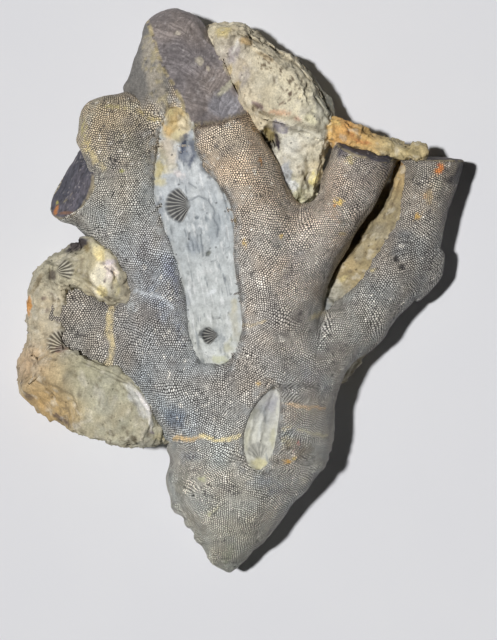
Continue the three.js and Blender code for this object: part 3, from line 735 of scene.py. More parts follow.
# The colony's colours. Washes are x, y, reach, tone; bruises and painted shade, and crusts, are oval, tone,
# strength; veins are
#  places, width, tone, strength; pits are x, y, reach; lumps are oval, height; flecks are as above.
colonyTones = {
    "base": [150, 146, 138],
    "washes": [
        [-5.5, -27.0, 5.5, [160, 159, 151]],
        [-3.0, -35.5, 4.0, [136, 137, 126]],
        [7.0, -25.0, 3.5, [152, 151, 145]],
        [-10.0, -14.5, 5.0, [144, 148, 150]],
        [-12.5, 1.5, 5.0, [142, 147, 153]],
        [-15.5, 12.0, 5.0, [146, 145, 139]],
        [-18.0, 22.5, 3.5, [150, 136, 112]],
        [-20.0, -4.0, 4.5, [134, 127, 117]],
        [-15.0, -5.6, 2.5, [122, 116, 110]],
        [-2.0, 19.5, 5.0, [184, 165, 142]],
        [2.5, 6.0, 6.0, [164, 155, 145]],
        [3.0, -7.0, 5.0, [153, 147, 140]],
        [12.0, 10.0, 5.0, [163, 151, 139]],
        [25.5, 13.5, 4.0, [130, 123, 113]],
        [21.0, 2.0, 4.5, [126, 126, 124]],
        [12.5, -6.0, 5.0, [148, 147, 141]],
    ],
    "bruisesAndShade": [
        [[-8.6, -17.2, 2.6, 1.7, -20], [98, 108, 122], 0.75],
        [[-7.2, -22.2, 2.4, 1.0, 10], [112, 118, 128], 0.5],
        [[3.0, -25.5, 3.2, 1.3, -30], [108, 116, 126], 0.5],
        [[-11.5, -1.5, 2.2, 2.8, 10], [122, 132, 148], 0.5],
        [[-9.6, 2.2, 1.3, 5.4, 14], [134, 138, 158], 0.6],
        [[-13.0, 6.5, 2.0, 2.6, 20], [126, 130, 144], 0.35],
        [[-8.4, -5.2, 0.9, 3.0, 10], [142, 148, 160], 0.5],
        [[6.5, 3.0, 1.6, 4.5, -25], [112, 112, 118], 0.4],
        [[-17.6, 16.2, 2.0, 1.2, 60], [112, 110, 110], 0.35],
        [[21.5, 6.5, 2.6, 1.6, 60], [96, 100, 104], 0.5],
        [[9.0, -12.0, 2.4, 3.2, 0], [122, 126, 134], 0.4],
        # painted shade: this oval and the one two lines below darken the far right branch's right side, which
        # faces away from the light
        [[28.9, 16.2, 1.7, 3.0, -12], [44, 42, 46], 1.0],
        [[26.6, 17.7, 3.4, 0.8, 4], [62, 58, 60], 0.9],
        [[27.9, 12.0, 1.0, 3.4, -14], [84, 80, 80], 0.7],
        [[13.3, 18.8, 1.2, 1.3, 20], [74, 72, 86], 1.0],
        [[15.6, 18.8, 2.4, 0.7, -14], [86, 86, 106], 0.9],
        # painted shade: the right branch's right side, away from the light, above the dark gap by the channel
        [[19.2, 16.4, 0.7, 1.8, 10], [66, 62, 68], 0.9],
        [[16.2, 14.8, 1.4, 1.0, 30], [104, 94, 92], 0.5],
        [[-8.4, -27.4, 1.0, 3.4, 14], [116, 116, 108], 0.6],
        [[1.2, 19.6, 1.2, 2.6, -14], [146, 122, 100], 0.5],
        [[-13.4, 20.6, 1.8, 2.4, 20], [108, 108, 108], 0.5],
    ],
    "crusts": [
        [[26.3, 16.5, 1.4, 0.9, 60], [186, 150, 100], 0.6],
        [[26.4, 16.4, 0.75, 0.6, 70], [196, 122, 66], 1.0],
        [[26.3, 17.0, 0.35, 0.3, 0], [170, 84, 60], 0.8],
        [[24.9, 12.9, 0.9, 2.2, -20], [172, 150, 110], 0.5],
        [[23.4, 10.1, 0.8, 0.65, 40], [200, 162, 90], 0.9],
        [[24.3, 12.2, 0.35, 1.3, -20], [170, 138, 104], 0.7],
        [[14.3, 17.4, 1.0, 0.7, 50], [176, 162, 112], 0.8],
        [[12.7, 11.9, 0.95, 0.6, -20], [218, 190, 118], 1.0],
        [[12.2, 10.0, 1.6, 1.0, -30], [160, 136, 112], 0.5],
        [[12.3, 11.3, 0.35, 0.3, 0], [188, 132, 66], 1.0],
        [[5.1, 7.3, 0.45, 0.35, 0], [206, 178, 110], 0.9],
        [[2.3, 17.2, 0.5, 0.8, 0], [188, 136, 82], 0.8],
        [[1.4, 21.6, 0.5, 0.4, 0], [196, 152, 92], 0.7],
        [[0.3, 6.4, 0.45, 0.9, 10], [198, 166, 92], 0.8],
        [[-1.0, 9.2, 0.3, 0.5, 0], [196, 168, 100], 0.7],
        [[13.4, 7.6, 0.7, 0.4, 0], [170, 150, 104], 0.6],
        [[7.2, -21.0, 2.4, 1.8, -10], [150, 140, 124], 0.5],
        [[7.4, -20.4, 0.45, 0.36, 60], [188, 84, 62], 1.0],
        [[6.6, -21.6, 0.5, 0.34, 0], [150, 92, 84], 0.8],
        [[5.9, -22.8, 0.8, 0.5, -20], [206, 160, 78], 1.0],
        [[6.8, -22.4, 0.5, 0.3, 40], [200, 176, 110], 0.8],
        [[5.2, -20.6, 0.7, 0.4, 70], [196, 186, 150], 0.8],
        [[5.8, -18.3, 0.9, 0.4, 20], [202, 192, 160], 0.9],
        [[6.0, -20.0, 1.2, 0.9, 0], [176, 166, 130], 0.5],
        [[8.6, -21.6, 1.7, 1.2, 0], [104, 100, 88], 0.5],
        [[2.2, -12.4, 0.5, 0.35, 0], [200, 166, 98], 0.9],
        [[3.2, -13.4, 0.4, 0.3, 0], [190, 160, 100], 0.7],
        [[17.4, 2.8, 0.7, 0.4, 20], [198, 184, 140], 0.9],
        [[-5.5, -25.1, 0.75, 0.55, -10], [190, 190, 156], 0.9],
        [[-4.5, -29.9, 0.42, 0.38, 0], [206, 204, 172], 1.0],
        [[-3.6, -29.2, 0.5, 0.34, 30], [206, 204, 172], 1.0],
        [[-6.3, -28.0, 0.3, 0.25, 0], [190, 190, 165], 0.8],
        [[-2.0, -35.5, 0.9, 2.3, -20], [132, 136, 118], 0.7],
        [[9.9, -3.3, 1.6, 0.5, 25], [196, 186, 150], 0.9],
        [[10.9, -1.6, 1.1, 2.0, -35], [150, 150, 144], 0.7],
        [[21.0, 14.4, 0.55, 2.0, -12], [178, 160, 120], 0.7],
        [[-15.6, -1.5, 2.2, 1.0, -40], [186, 190, 192], 0.75],
        [[-17.4, 24.6, 2.6, 0.45, -4], [160, 150, 108], 0.8],
        [[-12.6, 23.4, 2.4, 0.5, -22], [176, 160, 112], 0.85],
        [[-10.4, 21.6, 0.5, 1.6, 20], [170, 150, 104], 0.8],
        [[-21.4, 21.8, 0.6, 2.2, 0], [176, 166, 122], 1.0],
        [[-21.0, 19.6, 0.7, 1.3, -10], [188, 172, 124], 0.9],
        [[-20.0, 18.0, 0.7, 1.9, 30], [190, 176, 138], 0.95],
        [[-18.8, 16.6, 0.5, 1.0, 30], [186, 174, 140], 0.7],
        [[-16.2, 16.0, 0.45, 0.3, 0], [180, 178, 96], 0.9],
        [[-7.0, 21.8, 0.7, 0.45, -20], [206, 188, 134], 1.0],
        [[-15.6, 18.8, 1.4, 0.6, 0], [104, 98, 90], 0.5],
        [[-7.9, -25.0, 0.8, 2.6, -18], [124, 124, 114], 0.7],
        [[-6.6, -30.6, 0.9, 3.4, 38], [128, 124, 112], 0.7],
        [[8.8, -16.2, 2.6, 0.5, -6], [176, 172, 156], 0.5],
        [[-3.2, 23.3, 1.6, 0.35, -12], [186, 166, 118], 0.8],
    ],
    "veins": [
        [[[-9.2, -19.8], [-6.8, -19.9], [-5.4, -19.5]], 0.8, [208, 180, 134], 1.0],
        [[[-5.6, -19.4], [-3.5, -20.0], [-2.2, -19.9], [-0.4, -19.5]], 0.7, [230, 214, 162], 1.0],
        [[[5.4, -15.0], [8.1, -15.3], [9.1, -15.7], [11.1, -15.7]], 0.45, [208, 180, 142], 0.85],
        [[[7.3, -18.5], [9.1, -19.1], [10.0, -19.4], [11.4, -19.3]], 0.6, [200, 194, 166], 0.85],
        [[[-17.7, -2.4], [-18.0, -4.6], [-18.1, -5.9], [-17.6, -7.3], [-17.8, -9.0], [-18.6, -10.4]],
         1.2, [206, 190, 150], 1.0],
        [[[-14.5, -0.1], [-12.6, -0.4], [-10.8, -1.0], [-9.4, -2.2]], 0.8, [190, 195, 200], 0.9],
        [[[13.6, 10.1], [15.1, 8.2]], 0.28, [206, 200, 190], 0.7],
        [[[2.8, -4.2], [0.6, -4.6], [-0.6, -5.2]], 0.5, [200, 184, 152], 0.8],
    ],
    "pits": [
        [19.6, 12.4, 0.28],
        [19.9, 9.4, 0.3],
        [19.3, 7.2, 0.3],
        [20.6, 4.2, 0.45],
        [21.4, 3.2, 0.5],
        [-17.7, 17.6, 0.3],
        [-17.1, 17.4, 0.25],
        [-4.6, -26.0, 0.25],
        [-6.7, -27.4, 0.3],
        [1.7, 12.6, 0.2],
    ],
    "lumps": [
        [[-8.1, -26.4, 1.3, 1.0, 0], 0.4],
        [[-8.9, -29.2, 1.1, 0.8, -50], 0.45],
        [[-7.3, -31.4, 0.8, 0.7, -50], 0.4],
        [[-5.9, -33.4, 1.0, 0.7, -50], 0.4],
        [[-4.0, -36.2, 0.9, 0.6, -40], 0.35],
        [[-4.1, -29.4, 0.9, 0.6, 30], 0.45],
        [[-3.4, -28.8, 0.5, 0.4, 0], 0.3],
        [[-5.7, -25.0, 0.9, 0.55, -10], 0.3],
        [[-2.3, -31.9, 1.4, 1.0, 0], 0.25],
        [[10.2, -23.4, 1.3, 0.9, 40], 0.4],
        [[8.4, -25.4, 1.0, 0.7, 30], 0.25],
        [[1.0, -30.6, 1.2, 0.8, 20], 0.2],
        [[-20.6, 23.2, 1.2, 0.9, 40], 0.35],
        [[-14.6, 24.8, 1.4, 0.8, 0], 0.3],
        [[26.0, 14.6, 1.1, 1.6, 0], 0.25],
    ],
    "flecks": [
        [0.55, 2, 41, 3.2, 2.24, [220, 216, 206], 0.6],
        [0.6, 3, 47, 3.0, 1.98, [56, 53, 54], 0.7],
        [1.9, 3, 43, 1.6, 0.4, [104, 100, 98], 0.4],
    ],
    "lumpTone": [172, 168, 152],
    # painted shade in the groove beside a filling
    "dustTone": [168, 171, 171],
    # painted shade in the pits
    "grooveShadeTone": [74, 72, 72],
    "pitShadeTone": [38, 36, 40],
    "flankTone": [120, 118, 115],
    "creamTone": [168, 160, 146],
    "yellowTone": [184, 172, 136],
    "stepBrownAndShadeTone": [84, 66, 54],
    # the brown edge of the centre branch's step, with painted shade along the step
    "rimTone": [186, 172, 134],
    "glintTone": [176, 170, 168],
    "dotTone": [60, 54, 52],
}

# the two tones of each broken face, and how uneven they are
faceTones = {
    "centreBranch": [[136, 127, 123], [127, 121, 122], 0.12],
    "leftBranch": [[72, 72, 82], [98, 94, 102], 0.45],
    "rightBranch": [[62, 62, 74], [84, 80, 88], 0.45],
    "farRightBranch": [[62, 58, 60], [86, 80, 78], 0.45],
}

# the smooth flank of the centre branch starts at y = from and x = side; the crust runs along its edge
centreFlank = {
    "from": 24.0,
    "side": -9.0,
    "crust": [[-12.5, 33.5], [-12.1, 29.5], [-11.3, 26.4], [-9.8, 24.0], [-9.2, 22.4]],
    "crustWidth": 3.3,
}

# the outline of the centre branch's broken face in plan: y, its left edge, its right edge
faceOutline = [
    [22.0, -7.2, 0.6],
    [25.8, -8.5, 0.5],
    [28.2, -9.9, -1.2],
    [30.3, -11.1, -2.5],
    [32.6, -11.9, -3.5],
    [35.3, -12.6, -4.4],
    [39.0, -14.0, -4.0],
]
# the step at the face's near end, as x, y
faceCliff = [[-7.2, 22.0], [-3.0, 22.7], [0.0, 23.7], [1.4, 24.4]]
faceFloor = 6.0  # nothing lower than this belongs to the face

faceFlecks = [
    [[-2.6, 25.2, 2.6, 2.2, 30], [134, 132, 137]],
    [[-8.8, 34.6, 0.55, 0.35, -10], [196, 186, 172]],
    [[-5.8, 30.9, 0.55, 0.75, 30], [186, 178, 162]],
    [[-4.7, 29.9, 0.25, 0.4, 10], [196, 186, 168]],
    [[-2.4, 27.2, 1.75, 0.5, 42], [182, 178, 160]],
    [[-1.4, 28.2, 0.6, 0.45, 30], [186, 182, 162]],
    [[-25.3, 10.9, 0.8, 0.35, 75], [196, 128, 72]],
    [[-25.2, 12.0, 0.35, 0.25, 80], [180, 168, 96]],
    [[-23.8, 10.5, 1.1, 0.25, 0], [128, 98, 82]],
    [[-24.0, 12.2, 0.5, 0.16, 40], [130, 122, 104]],
    [[-23.2, 13.0, 0.4, 0.14, 60], [128, 120, 116]],
]


def centreFaceInside(points):
    # how far a point is inside the centre branch's broken face: the least of its distances from the left,
    # right and near edges in plan. Also how far it is past the step, and past the step's ends
    rows = np.array(faceOutline)
    left = points[..., 0] - np.interp(points[..., 1], rows[:, 0], rows[:, 1])
    right = np.interp(points[..., 1], rows[:, 0], rows[:, 2]) - points[..., 0]
    cliff = points[..., 1] - np.interp(points[..., 0], *np.array(faceCliff).T)
    inside = np.minimum(np.minimum(left, right), cliff) + 0.12 * cloud(points, 0.9, 69)
    return np.where(points[..., 2] > faceFloor, inside, -9.0), cliff, np.minimum(left + 0.5, right + 2.5)


def paintColony(name, points, inside, facing):
    # washes of grey, then bruises and painted shade, crusts, veins, painted shade in the groove beside each
    # filling, and pits darkened as painted shade; inside is the distance into a broken face, and facing is 1
    # where the surface looks up. Returns the tint, how bare of pores it is, and how streaked
    tint = wash(points, colonyTones["base"], colonyTones["washes"])
    mottle = rough(points, 2.6, 3, 5)
    tint = tint * (1 + 0.15 * mottle + 0.1 * rough(points, 1.0, 2, 7))[..., None]
    warmer = 0.05 * rough(points, 3.2, 2, 9)
    tint = tint * np.stack([1 + warmer, 1 + 0 * warmer, 1 - warmer], axis=-1)
    bare = np.zeros(points.shape[:-1])
    # the bruises include painted shade on the right sides of the far right and right branches
    for oval, tone, strength in colonyTones["bruisesAndShade"]:
        tint = stain(tint, ovalMark(points, oval, 0.8), tone, strength)
    tint = fleck(tint, points, colonyTones["flecks"])
    lumpy = np.max([ovalMark(points, oval, 1.0) for oval, height in colonyTones["lumps"]], axis=0)
    tint = stain(tint, lumpy * facing, colonyTones["lumpTone"], 0.35)
    speckled = ease(0.7 + 1.4 * rough(points, 0.45, 2, 49))
    for oval, tone, strength in colonyTones["crusts"]:
        mark = ovalMark(points, oval, 1.2) * speckled * facing
        tint = stain(tint, mark, tone, strength)
        bare = np.maximum(bare, 0.7 * mark * strength)
    for places, width, tone, strength in colonyTones["veins"]:
        mark = lineMark(points, places, width) * (0.5 + 0.5 * speckled) * facing
        tint = stain(tint, mark, tone, strength)
        bare = np.maximum(bare, 0.8 * mark * strength)
    for infill in infills.values():
        share, across, depth = infillPlace(points, infill)
        reach = np.where(across < 0, 1.9, 0.9)
        dust = ease(1.1 + depth / reach) * ease(0.45 + 1.1 * rough(points, 0.8, 3, 55))
        tint = stain(tint, dust, colonyTones["dustTone"], 0.6)
        bare = np.maximum(bare, 0.7 * dust)
        # painted shade: a dark line in the groove along the right side of each filling, the side away from
        # the light
        seam = ease(1.2 - np.abs(depth) / 0.4) * ease(0.6 + rough(points, 1.3, 2, 57)) * (across > 0)
        tint = stain(tint, seam, colonyTones["grooveShadeTone"], 0.6)
    # painted shade: the pits, also sunk in the skin, are darkened almost to black
    for x, y, reach in colonyTones["pits"]:
        tint = stain(tint, ovalMark(points, [x, y, reach, reach, 0]) * facing, colonyTones["pitShadeTone"], 0.85)
    if name == "centreBranch":
        # its smooth outer flank, the cream crust between flank and face, and the brown edge of the step,
        # darkened as painted shade where the step drops to the face
        flank = ease((points[..., 1] - centreFlank["from"] - 1.2 * rough(points, 2.0, 2, 61)) / 2.5)
        flank *= ease((centreFlank["side"] - points[..., 0]) / 1.5)
        tint = stain(tint, flank, colonyTones["flankTone"], 0.9)
        cream = lineMark(points, centreFlank["crust"], centreFlank["crustWidth"])
        tint = stain(tint, cream * ease(0.8 + 0.7 * rough(points, 1.2, 3, 67)), colonyTones["creamTone"], 0.9)
        yellowed = cream * ease(1.4 * rough(points, 0.8, 3, 65))
        tint = stain(tint, yellowed, colonyTones["yellowTone"], 0.6)
        bare = np.maximum(bare, np.maximum(0.95 * flank, 0.8 * cream))
        inside, cliff, near = centreFaceInside(points)
        # painted shade along the step down to the broken face, over its brown edge
        edge = ease(1.2 - np.abs(cliff + 0.35) / 0.5) * ease(near)
        tint = stain(tint, edge * ease(0.8 + 0.8 * rough(points, 0.8, 2, 73)), colonyTones["stepBrownAndShadeTone"], 0.7)
    if name in faceTones:
        onFace = ease(inside / 0.14 + 0.5)
        first, second, unevenness = faceTones[name]
        mixed = ease(0.5 + 0.6 * rough(points, 3.5, 2, 81))[..., None]
        face = linear(first) * mixed + linear(second) * (1 - mixed)
        face = face * (1 + unevenness * rough(points, 0.6, 3, 83))[..., None]
        face = fleck(face, points, [[0.4, 2, 85, 3.0, 1.8, colonyTones["glintTone"], 0.55]])
        for oval, tone in faceFlecks:
            face = stain(face, ovalMark(points, oval), tone, 1.0)
        tint = tint * (1 - onFace[..., None]) + face * onFace[..., None]
        bare = np.maximum(bare, onFace)
        nearRim = ease(1.3 - np.abs(inside - 0.12) / 0.32) * ease(0.5 + 1.2 * rough(points, 0.8, 2, 87) + 0.4)
        leftRim = ease((-4.0 - points[..., 0]) / 3) if name == "centreBranch" else 0.25
        tint = stain(tint, nearRim, colonyTones["rimTone"], 0.35 + 0.55 * leftRim)
        dots = holes(points, 0.42, 0.7, 89) * ease(1.2 - np.abs(inside - 0.35) / 0.4)
        tint = stain(tint, dots, colonyTones["dotTone"], 0.5)
    streaked = 1.0 if name == "centreBranch" else 0.15
    return tint, bare, streaked * ease(inside / 0.25 + 0.5)


def colonySkin(name):
    # a limb's skin, rounded at the forks, worn at its broken rim, made uneven along its normals, then
    # notched, stepped and pressed under the fillings
    limb = limbs[name]
    points, inside = limbSkin(limb, colony["spacing"] * limb.get("coarser", 1))
    points = roundForks(name, points, outwardNormals(points))
    normals = outwardNormals(points)
    if limb.get("broken"):
        toRim = np.clip(np.abs(inside) / colony["bevel"], 0, 1)
        worn = 0.6 * colony["bevel"] * (1 - np.sqrt(1 - (1 - toRim) ** 2))
        points = points - normals * worn[..., None]
    relief = sum(height * cloud(points, size, 11 + k) for k, (size, height) in enumerate(colony["relief"]))
    sunk = sum(ovalMark(points, [x, y, reach, reach, 0]) for x, y, reach in colonyTones["pits"])
    relief = relief - colony["pitDepth"] * sunk
    relief = relief + sum(height * ovalMark(points, oval, 1.0) for oval, height in colonyTones["lumps"])
    points = points + normals * relief[..., None]
    if limb.get("notch"):
        points, inside = cutNotch(points, limb["notch"])
    if name == "centreBranch":
        points[..., 2] -= colony["faceStep"] * ease(centreFaceInside(points)[0] / 0.3)
    onFace = ease(inside / 0.4)
    chipped = colony["faceRelief"] * (rough(points, 2.2, 3, 33) + 0.8 * chips(points, 3.0, 35)) * onFace
    points = points + outwardNormals(points) * chipped[..., None]
    for infill in infills.values():
        points = pressUnder(points, infill)
    points[..., 2] = np.maximum(points[..., 2], 0)
    facing = ease((outwardNormals(points)[..., 2] + 0.05) / 0.3)
    tint, bare, face = paintColony(name, points, inside, facing)
    return {"points": points, "tint": tint, "marks": {"bare": bare, "face": face}}


# The rocks that the colony still sits in; stations are x, y, z, half width, half height, and pits are size,
# share, depth.
rocks = {
    "leftMatrix": {
        "round": 3.6,
        "swell": 0.35,
        "spacing": 0.2,
        "relief": 0.2,
        "chips": 0.8,
        "pits": [0.9, 0.3, 0.3],
        "stations": [
            [-13.8, -1.0, 9.4, 1.4, 4.2],
            [-17.4, 0.9, 9.4, 3.1, 6.4],
            [-20.6, 3.2, 8.4, 3.7, 7.4],
            [-23.5, 2.9, 7.2, 2.6, 7.2],
            [-26.0, 0.1, 6.3, 2.9, 7.0],
            [-26.5, -4.1, 6.0, 2.7, 7.0],
            [-26.8, -7.6, 6.4, 2.5, 7.6],
            [-26.6, -11.4, 7.4, 4.0, 8.6],
            [-22.0, -13.8, 8.2, 5.0, 9.6],
            [-17.6, -15.6, 8.2, 4.9, 9.4],
            [-13.8, -18.1, 7.6, 2.9, 7.6],
            [-8.8, -19.9, 7.0, 0.9, 5.0],
        ],
    },
    "upperMatrix": {
        "round": 2.9,
        "swell": 0.5,
        "spacing": 0.18,
        "relief": 0.2,
        "chips": 0.75,
        "pits": [0.8, 0.3, 0.25],
        "ledge": [([7.0, 20.6, 13.0], [0.0, -0.12, 1.0]), ([7.0, 21.4, 13.0], [-0.25, -0.95, 0.25])],
        "stations": [
            [-4.7, 35.7, 7.8, 0.9, 4.4],
            [-1.2, 32.9, 7.4, 3.1, 7.2],
            [1.7, 29.6, 7.2, 4.2, 7.6],
            [5.0, 25.6, 7.2, 5.4, 7.7],
            [6.9, 22.0, 7.0, 5.7, 7.4],
            [7.3, 18.4, 6.8, 4.0, 7.0],
            [7.9, 14.3, 6.6, 2.6, 6.6],
            [7.6, 11.0, 6.6, 1.2, 5.4],
        ],
    },
    "ledgeMatrix": {
        "round": 3.0,
        "swell": 0.45,
        "spacing": 0.16,
        "relief": 0.26,
        "chips": 0.9,
        "pits": [0.7, 0.2, 0.2],
        "stations": [
            [10.4, 21.9, 9.2, 1.8, 3.6],
            [14.0, 21.0, 9.2, 1.8, 3.8],
            [17.6, 19.7, 9.0, 1.5, 3.7],
            [21.0, 18.7, 8.6, 1.3, 3.5],
            [24.8, 18.2, 8.2, 1.0, 2.8],
        ],
    },
    "channelMatrix": {
        "round": 2.4,
        "swell": 0.2,
        "spacing": 0.2,
        "relief": 0.2,
        "chips": 0.5,
        "pits": [0.8, 0.2, 0.2],
        "stations": [
            [22.6, 18.6, 6.4, 1.5, 4.6],
            [21.1, 12.0, 6.4, 1.8, 5.0],
            [18.6, 7.4, 6.4, 2.1, 5.4],
            [15.7, 3.0, 6.5, 2.4, 5.6],
            [12.9, -0.2, 6.8, 2.3, 5.6],
            [10.4, -2.8, 7.3, 1.8, 5.6],
            [8.9, -4.9, 7.6, 0.9, 4.8],
        ],
    },
    "channelBed": {
        "round": 2.4,
        "swell": 0.0,
        "spacing": 0.4,
        "relief": 0.15,
        "chips": 0.2,
        "pits": [0.8, 0.2, 0.2],
        "stations": [
            [20.4, 15.0, 3.0, 2.2, 3.2],
            [16.4, 6.4, 3.0, 3.2, 3.4],
            [10.6, -1.6, 3.0, 2.6, 3.2],
        ],
    },
    "lowerRightMatrix": {
        "round": 2.4,
        "swell": 0.2,
        "spacing": 0.2,
        "relief": 0.25,
        "chips": 1.0,
        "pits": [0.8, 0.3, 0.3],
        "stations": [
            [15.8, -7.0, 5.2, 0.9, 3.4],
            [13.6, -9.6, 5.0, 1.7, 4.6],
            [11.2, -12.8, 4.8, 1.0, 3.4],
        ],
    },
}

rockPieces = {
    "left_matrix": ["leftMatrix"],
    "upper_matrix": ["upperMatrix"],
    "ledge_matrix": ["ledgeMatrix"],
    "channel_matrix": ["channelMatrix", "channelBed"],
    "lower_right_matrix": ["lowerRightMatrix"],
}

# what stands up or is sunk on each rock: ovals with a height, grooves with a width and height, ribbed shells
rockForms = {
    "leftMatrix": {
        "flats": [
            [[-20.0, -14.2, 14.2], [-0.04, -0.1, 1.0], 9.5],
            [[-26.6, -15.0, 11.0], [-0.42, -0.62, 0.7], 5.2],
            [[-26.4, -4.6, 11.9], [-0.22, 0.0, 1.0], 6.5],
            [[-22.5, 3.4, 13.2], [-0.25, 0.3, 1.0], 5.0],
            [[-29.6, -9.0, 8.0], [-1.0, 0.1, 0.3], 5.0],
            [[-24.5, 5.6, 9.6], [-0.5, 0.7, 0.6], 3.0],
            [[-27.6, -10.6, 13.0], [-0.3, -0.05, 1.0], 3.4],
        ],
        "ovals": [
            [[-18.4, 1.7, 1.8, 2.3, 0], 1.0],
            [[-19.7, 5.7, 1.0, 1.2, 20], 0.5],
            [[-22.5, 6.0, 1.6, 0.9, 30], -0.5],
            [[-27.6, -10.6, 1.2, 1.0, 0], 0.3],
            [[-28.6, -9.8, 0.25, 0.32, 0], -0.3],
            [[-28.0, -9.7, 0.25, 0.3, 10], -0.3],
            [[-22.2, -14.0, 0.35, 0.14, 40], -0.5],
            [[-21.8, -14.2, 0.3, 0.14, 40], -0.5],
            [[-17.8, -19.0, 0.4, 0.3, 0], -0.7],
            [[-18.8, -14.6, 0.6, 0.35, -10], -0.25],
            [[-20.8, -11.4, 0.4, 0.2, -30], -0.3],
            [[-13.6, -18.8, 0.7, 0.5, 10], 0.5],
            [[-14.4, -19.9, 0.3, 0.6, 10], -0.7],
            [[-15.3, -20.1, 0.2, 0.45, 10], -0.5],
            [[-12.6, -19.3, 0.35, 0.5, 0], -0.5],
            [[-11.2, -19.4, 0.6, 0.4, 0], 0.3],
        ],
        "grooves": [
            [[[-23.0, 2.0], [-21.2, 1.2], [-19.4, -0.6], [-17.6, -1.9], [-16.0, -2.2]], 0.9, 0.45],
            [[[-22.4, 2.9], [-20.8, 1.9], [-19.6, 0.3], [-17.9, -1.0]], 0.5, -0.5],
            [[[-26.0, 3.2], [-25.9, 1.0]], 0.4, -0.4],
            [[[-25.6, 4.4], [-23.6, 5.2], [-22.0, 4.8]], 0.9, 0.3],
            [[[-30.2, -11.2], [-27.6, -12.3], [-26.0, -12.6], [-24.4, -13.2], [-22.9, -13.9],
              [-22.0, -16.6], [-21.6, -18.8]], 0.5, -0.3],
            [[[-26.4, -13.0], [-25.6, -13.8], [-25.5, -14.6], [-24.6, -14.9]], 0.4, -0.25],
            [[[-15.3, -12.6], [-13.6, -14.2], [-12.8, -15.8], [-12.4, -17.8]], 1.2, 0.4],
            [[[-16.0, -13.0], [-14.5, -14.8], [-13.7, -16.6], [-13.2, -18.4]], 0.35, -0.35],
            [[[-24.4, -10.0], [-21.4, -9.9], [-18.2, -11.0], [-16.0, -12.2]], 0.6, 0.3],
        ],
        "fans": [
            [-25.5, 2.4, 14.0, 40.0, 3.2, 6, 0.2],
            [-23.6, -7.7, 152.0, 50.0, 3.2, 8, 0.15],
        ],
    },
    "upperMatrix": {
        "flats": [
            [[4.0, 28.0, 14.0], [-0.1, 0.0, 1.0], 8.0],
            [[10.4, 26.6, 11.4], [0.8, 0.5, 0.6], 6.0],
            [[-1.6, 31.0, 12.6], [-0.55, -0.3, 1.0], 4.0],
            [[4.6, 33.2, 11.0], [0.42, 0.8, 0.55], 6.0],
        ],
        "ovals": [
            [[3.7, 20.8, 1.1, 1.7, 12], -2.0],
            [[4.2, 20.4, 0.6, 1.0, 12], 1.0],
            [[-2.8, 34.9, 1.3, 0.9, 20], 0.5],
            [[0.2, 33.4, 1.0, 0.7, -20], 0.35],
            [[7.0, 17.0, 1.6, 2.8, 10], 0.5],
            [[6.6, 13.4, 1.0, 1.4, 0], 0.6],
            [[7.4, 11.4, 1.3, 1.1, -10], 0.6],
            [[9.6, 15.2, 0.7, 1.3, -14], 0.7],
            [[10.0, 19.0, 0.8, 2.0, -6], 0.5],
            [[9.0, 22.9, 1.6, 0.9, -25], 0.8],
            [[11.6, 28.2, 0.5, 0.5, 0], 0.8],
            [[6.1, 28.0, 1.8, 1.2, -40], -0.15],
        ],
        "grooves": [
            [[[8.9, 15.8], [8.0, 13.6], [7.6, 12.4], [6.6, 11.7]], 0.5, -0.9],
            [[[11.0, 13.6], [9.8, 12.0], [8.8, 11.6]], 0.35, -0.5],
            [[[1.4, 24.6], [3.8, 23.4], [7.0, 23.2], [8.2, 21.9], [10.0, 21.2], [11.4, 22.2]], 0.5, -0.7],
            [[[6.6, 22.2], [8.0, 21.0], [9.4, 20.2]], 0.5, 0.35],
            [[[6.0, 21.0], [7.4, 20.0], [8.8, 19.4]], 0.45, 0.3],
            [[[5.8, 19.6], [6.8, 18.8], [7.6, 18.8]], 0.4, -0.25],
            [[[6.2, 17.8], [7.4, 17.2], [8.2, 17.4]], 0.4, 0.25],
            [[[6.2, 16.0], [7.2, 15.2], [8.0, 15.4]], 0.4, -0.3],
            [[[-0.6, 34.4], [3.4, 33.2], [6.6, 31.0], [9.4, 28.2], [11.0, 25.4], [12.6, 22.6]], 0.6, -0.6],
            [[[3.4, 34.4], [7.4, 31.4], [10.4, 28.0]], 0.4, -0.5],
            [[[9.8, 26.0], [11.6, 23.4], [13.0, 21.6]], 0.35, -0.5],
            [[[-1.8, 34.4], [-1.2, 32.6]], 0.4, 0.3],
        ],
        "fans": [],
    },
    "ledgeMatrix": {
        "flats": [],
        "ovals": [[[13.0, 21.6, 1.6, 0.8, -10], 0.3]],
        "grooves": [[[[12.6, 22.6], [12.9, 20.6]], 0.3, -0.3], [[[13.9, 22.2], [14.5, 20.8]], 0.3, -0.25]],
        "fans": [],
    },
    "channelMatrix": {
        "flats": [[[20.6, 12.0, 10.4], [-0.3, 0.2, 1.0], 7.0], [[15.2, 2.6, 10.8], [-0.3, 0.25, 1.0], 7.0]],
        "ovals": [[[21.6, 16.6, 0.8, 1.0, 0], 0.4]],
        "grooves": [[[[21.4, 15.0], [19.4, 9.0], [17.4, 5.4]], 0.35, -0.3]],
        "fans": [],
    },
    "channelBed": {"flats": [], "ovals": [], "grooves": [], "fans": []},
    "lowerRightMatrix": {
        "flats": [],
        "ovals": [],
        "grooves": [[[[14.6, -8.4], [12.8, -10.6], [11.8, -12.0]], 0.5, -0.5]],
        "fans": [],
    },
}

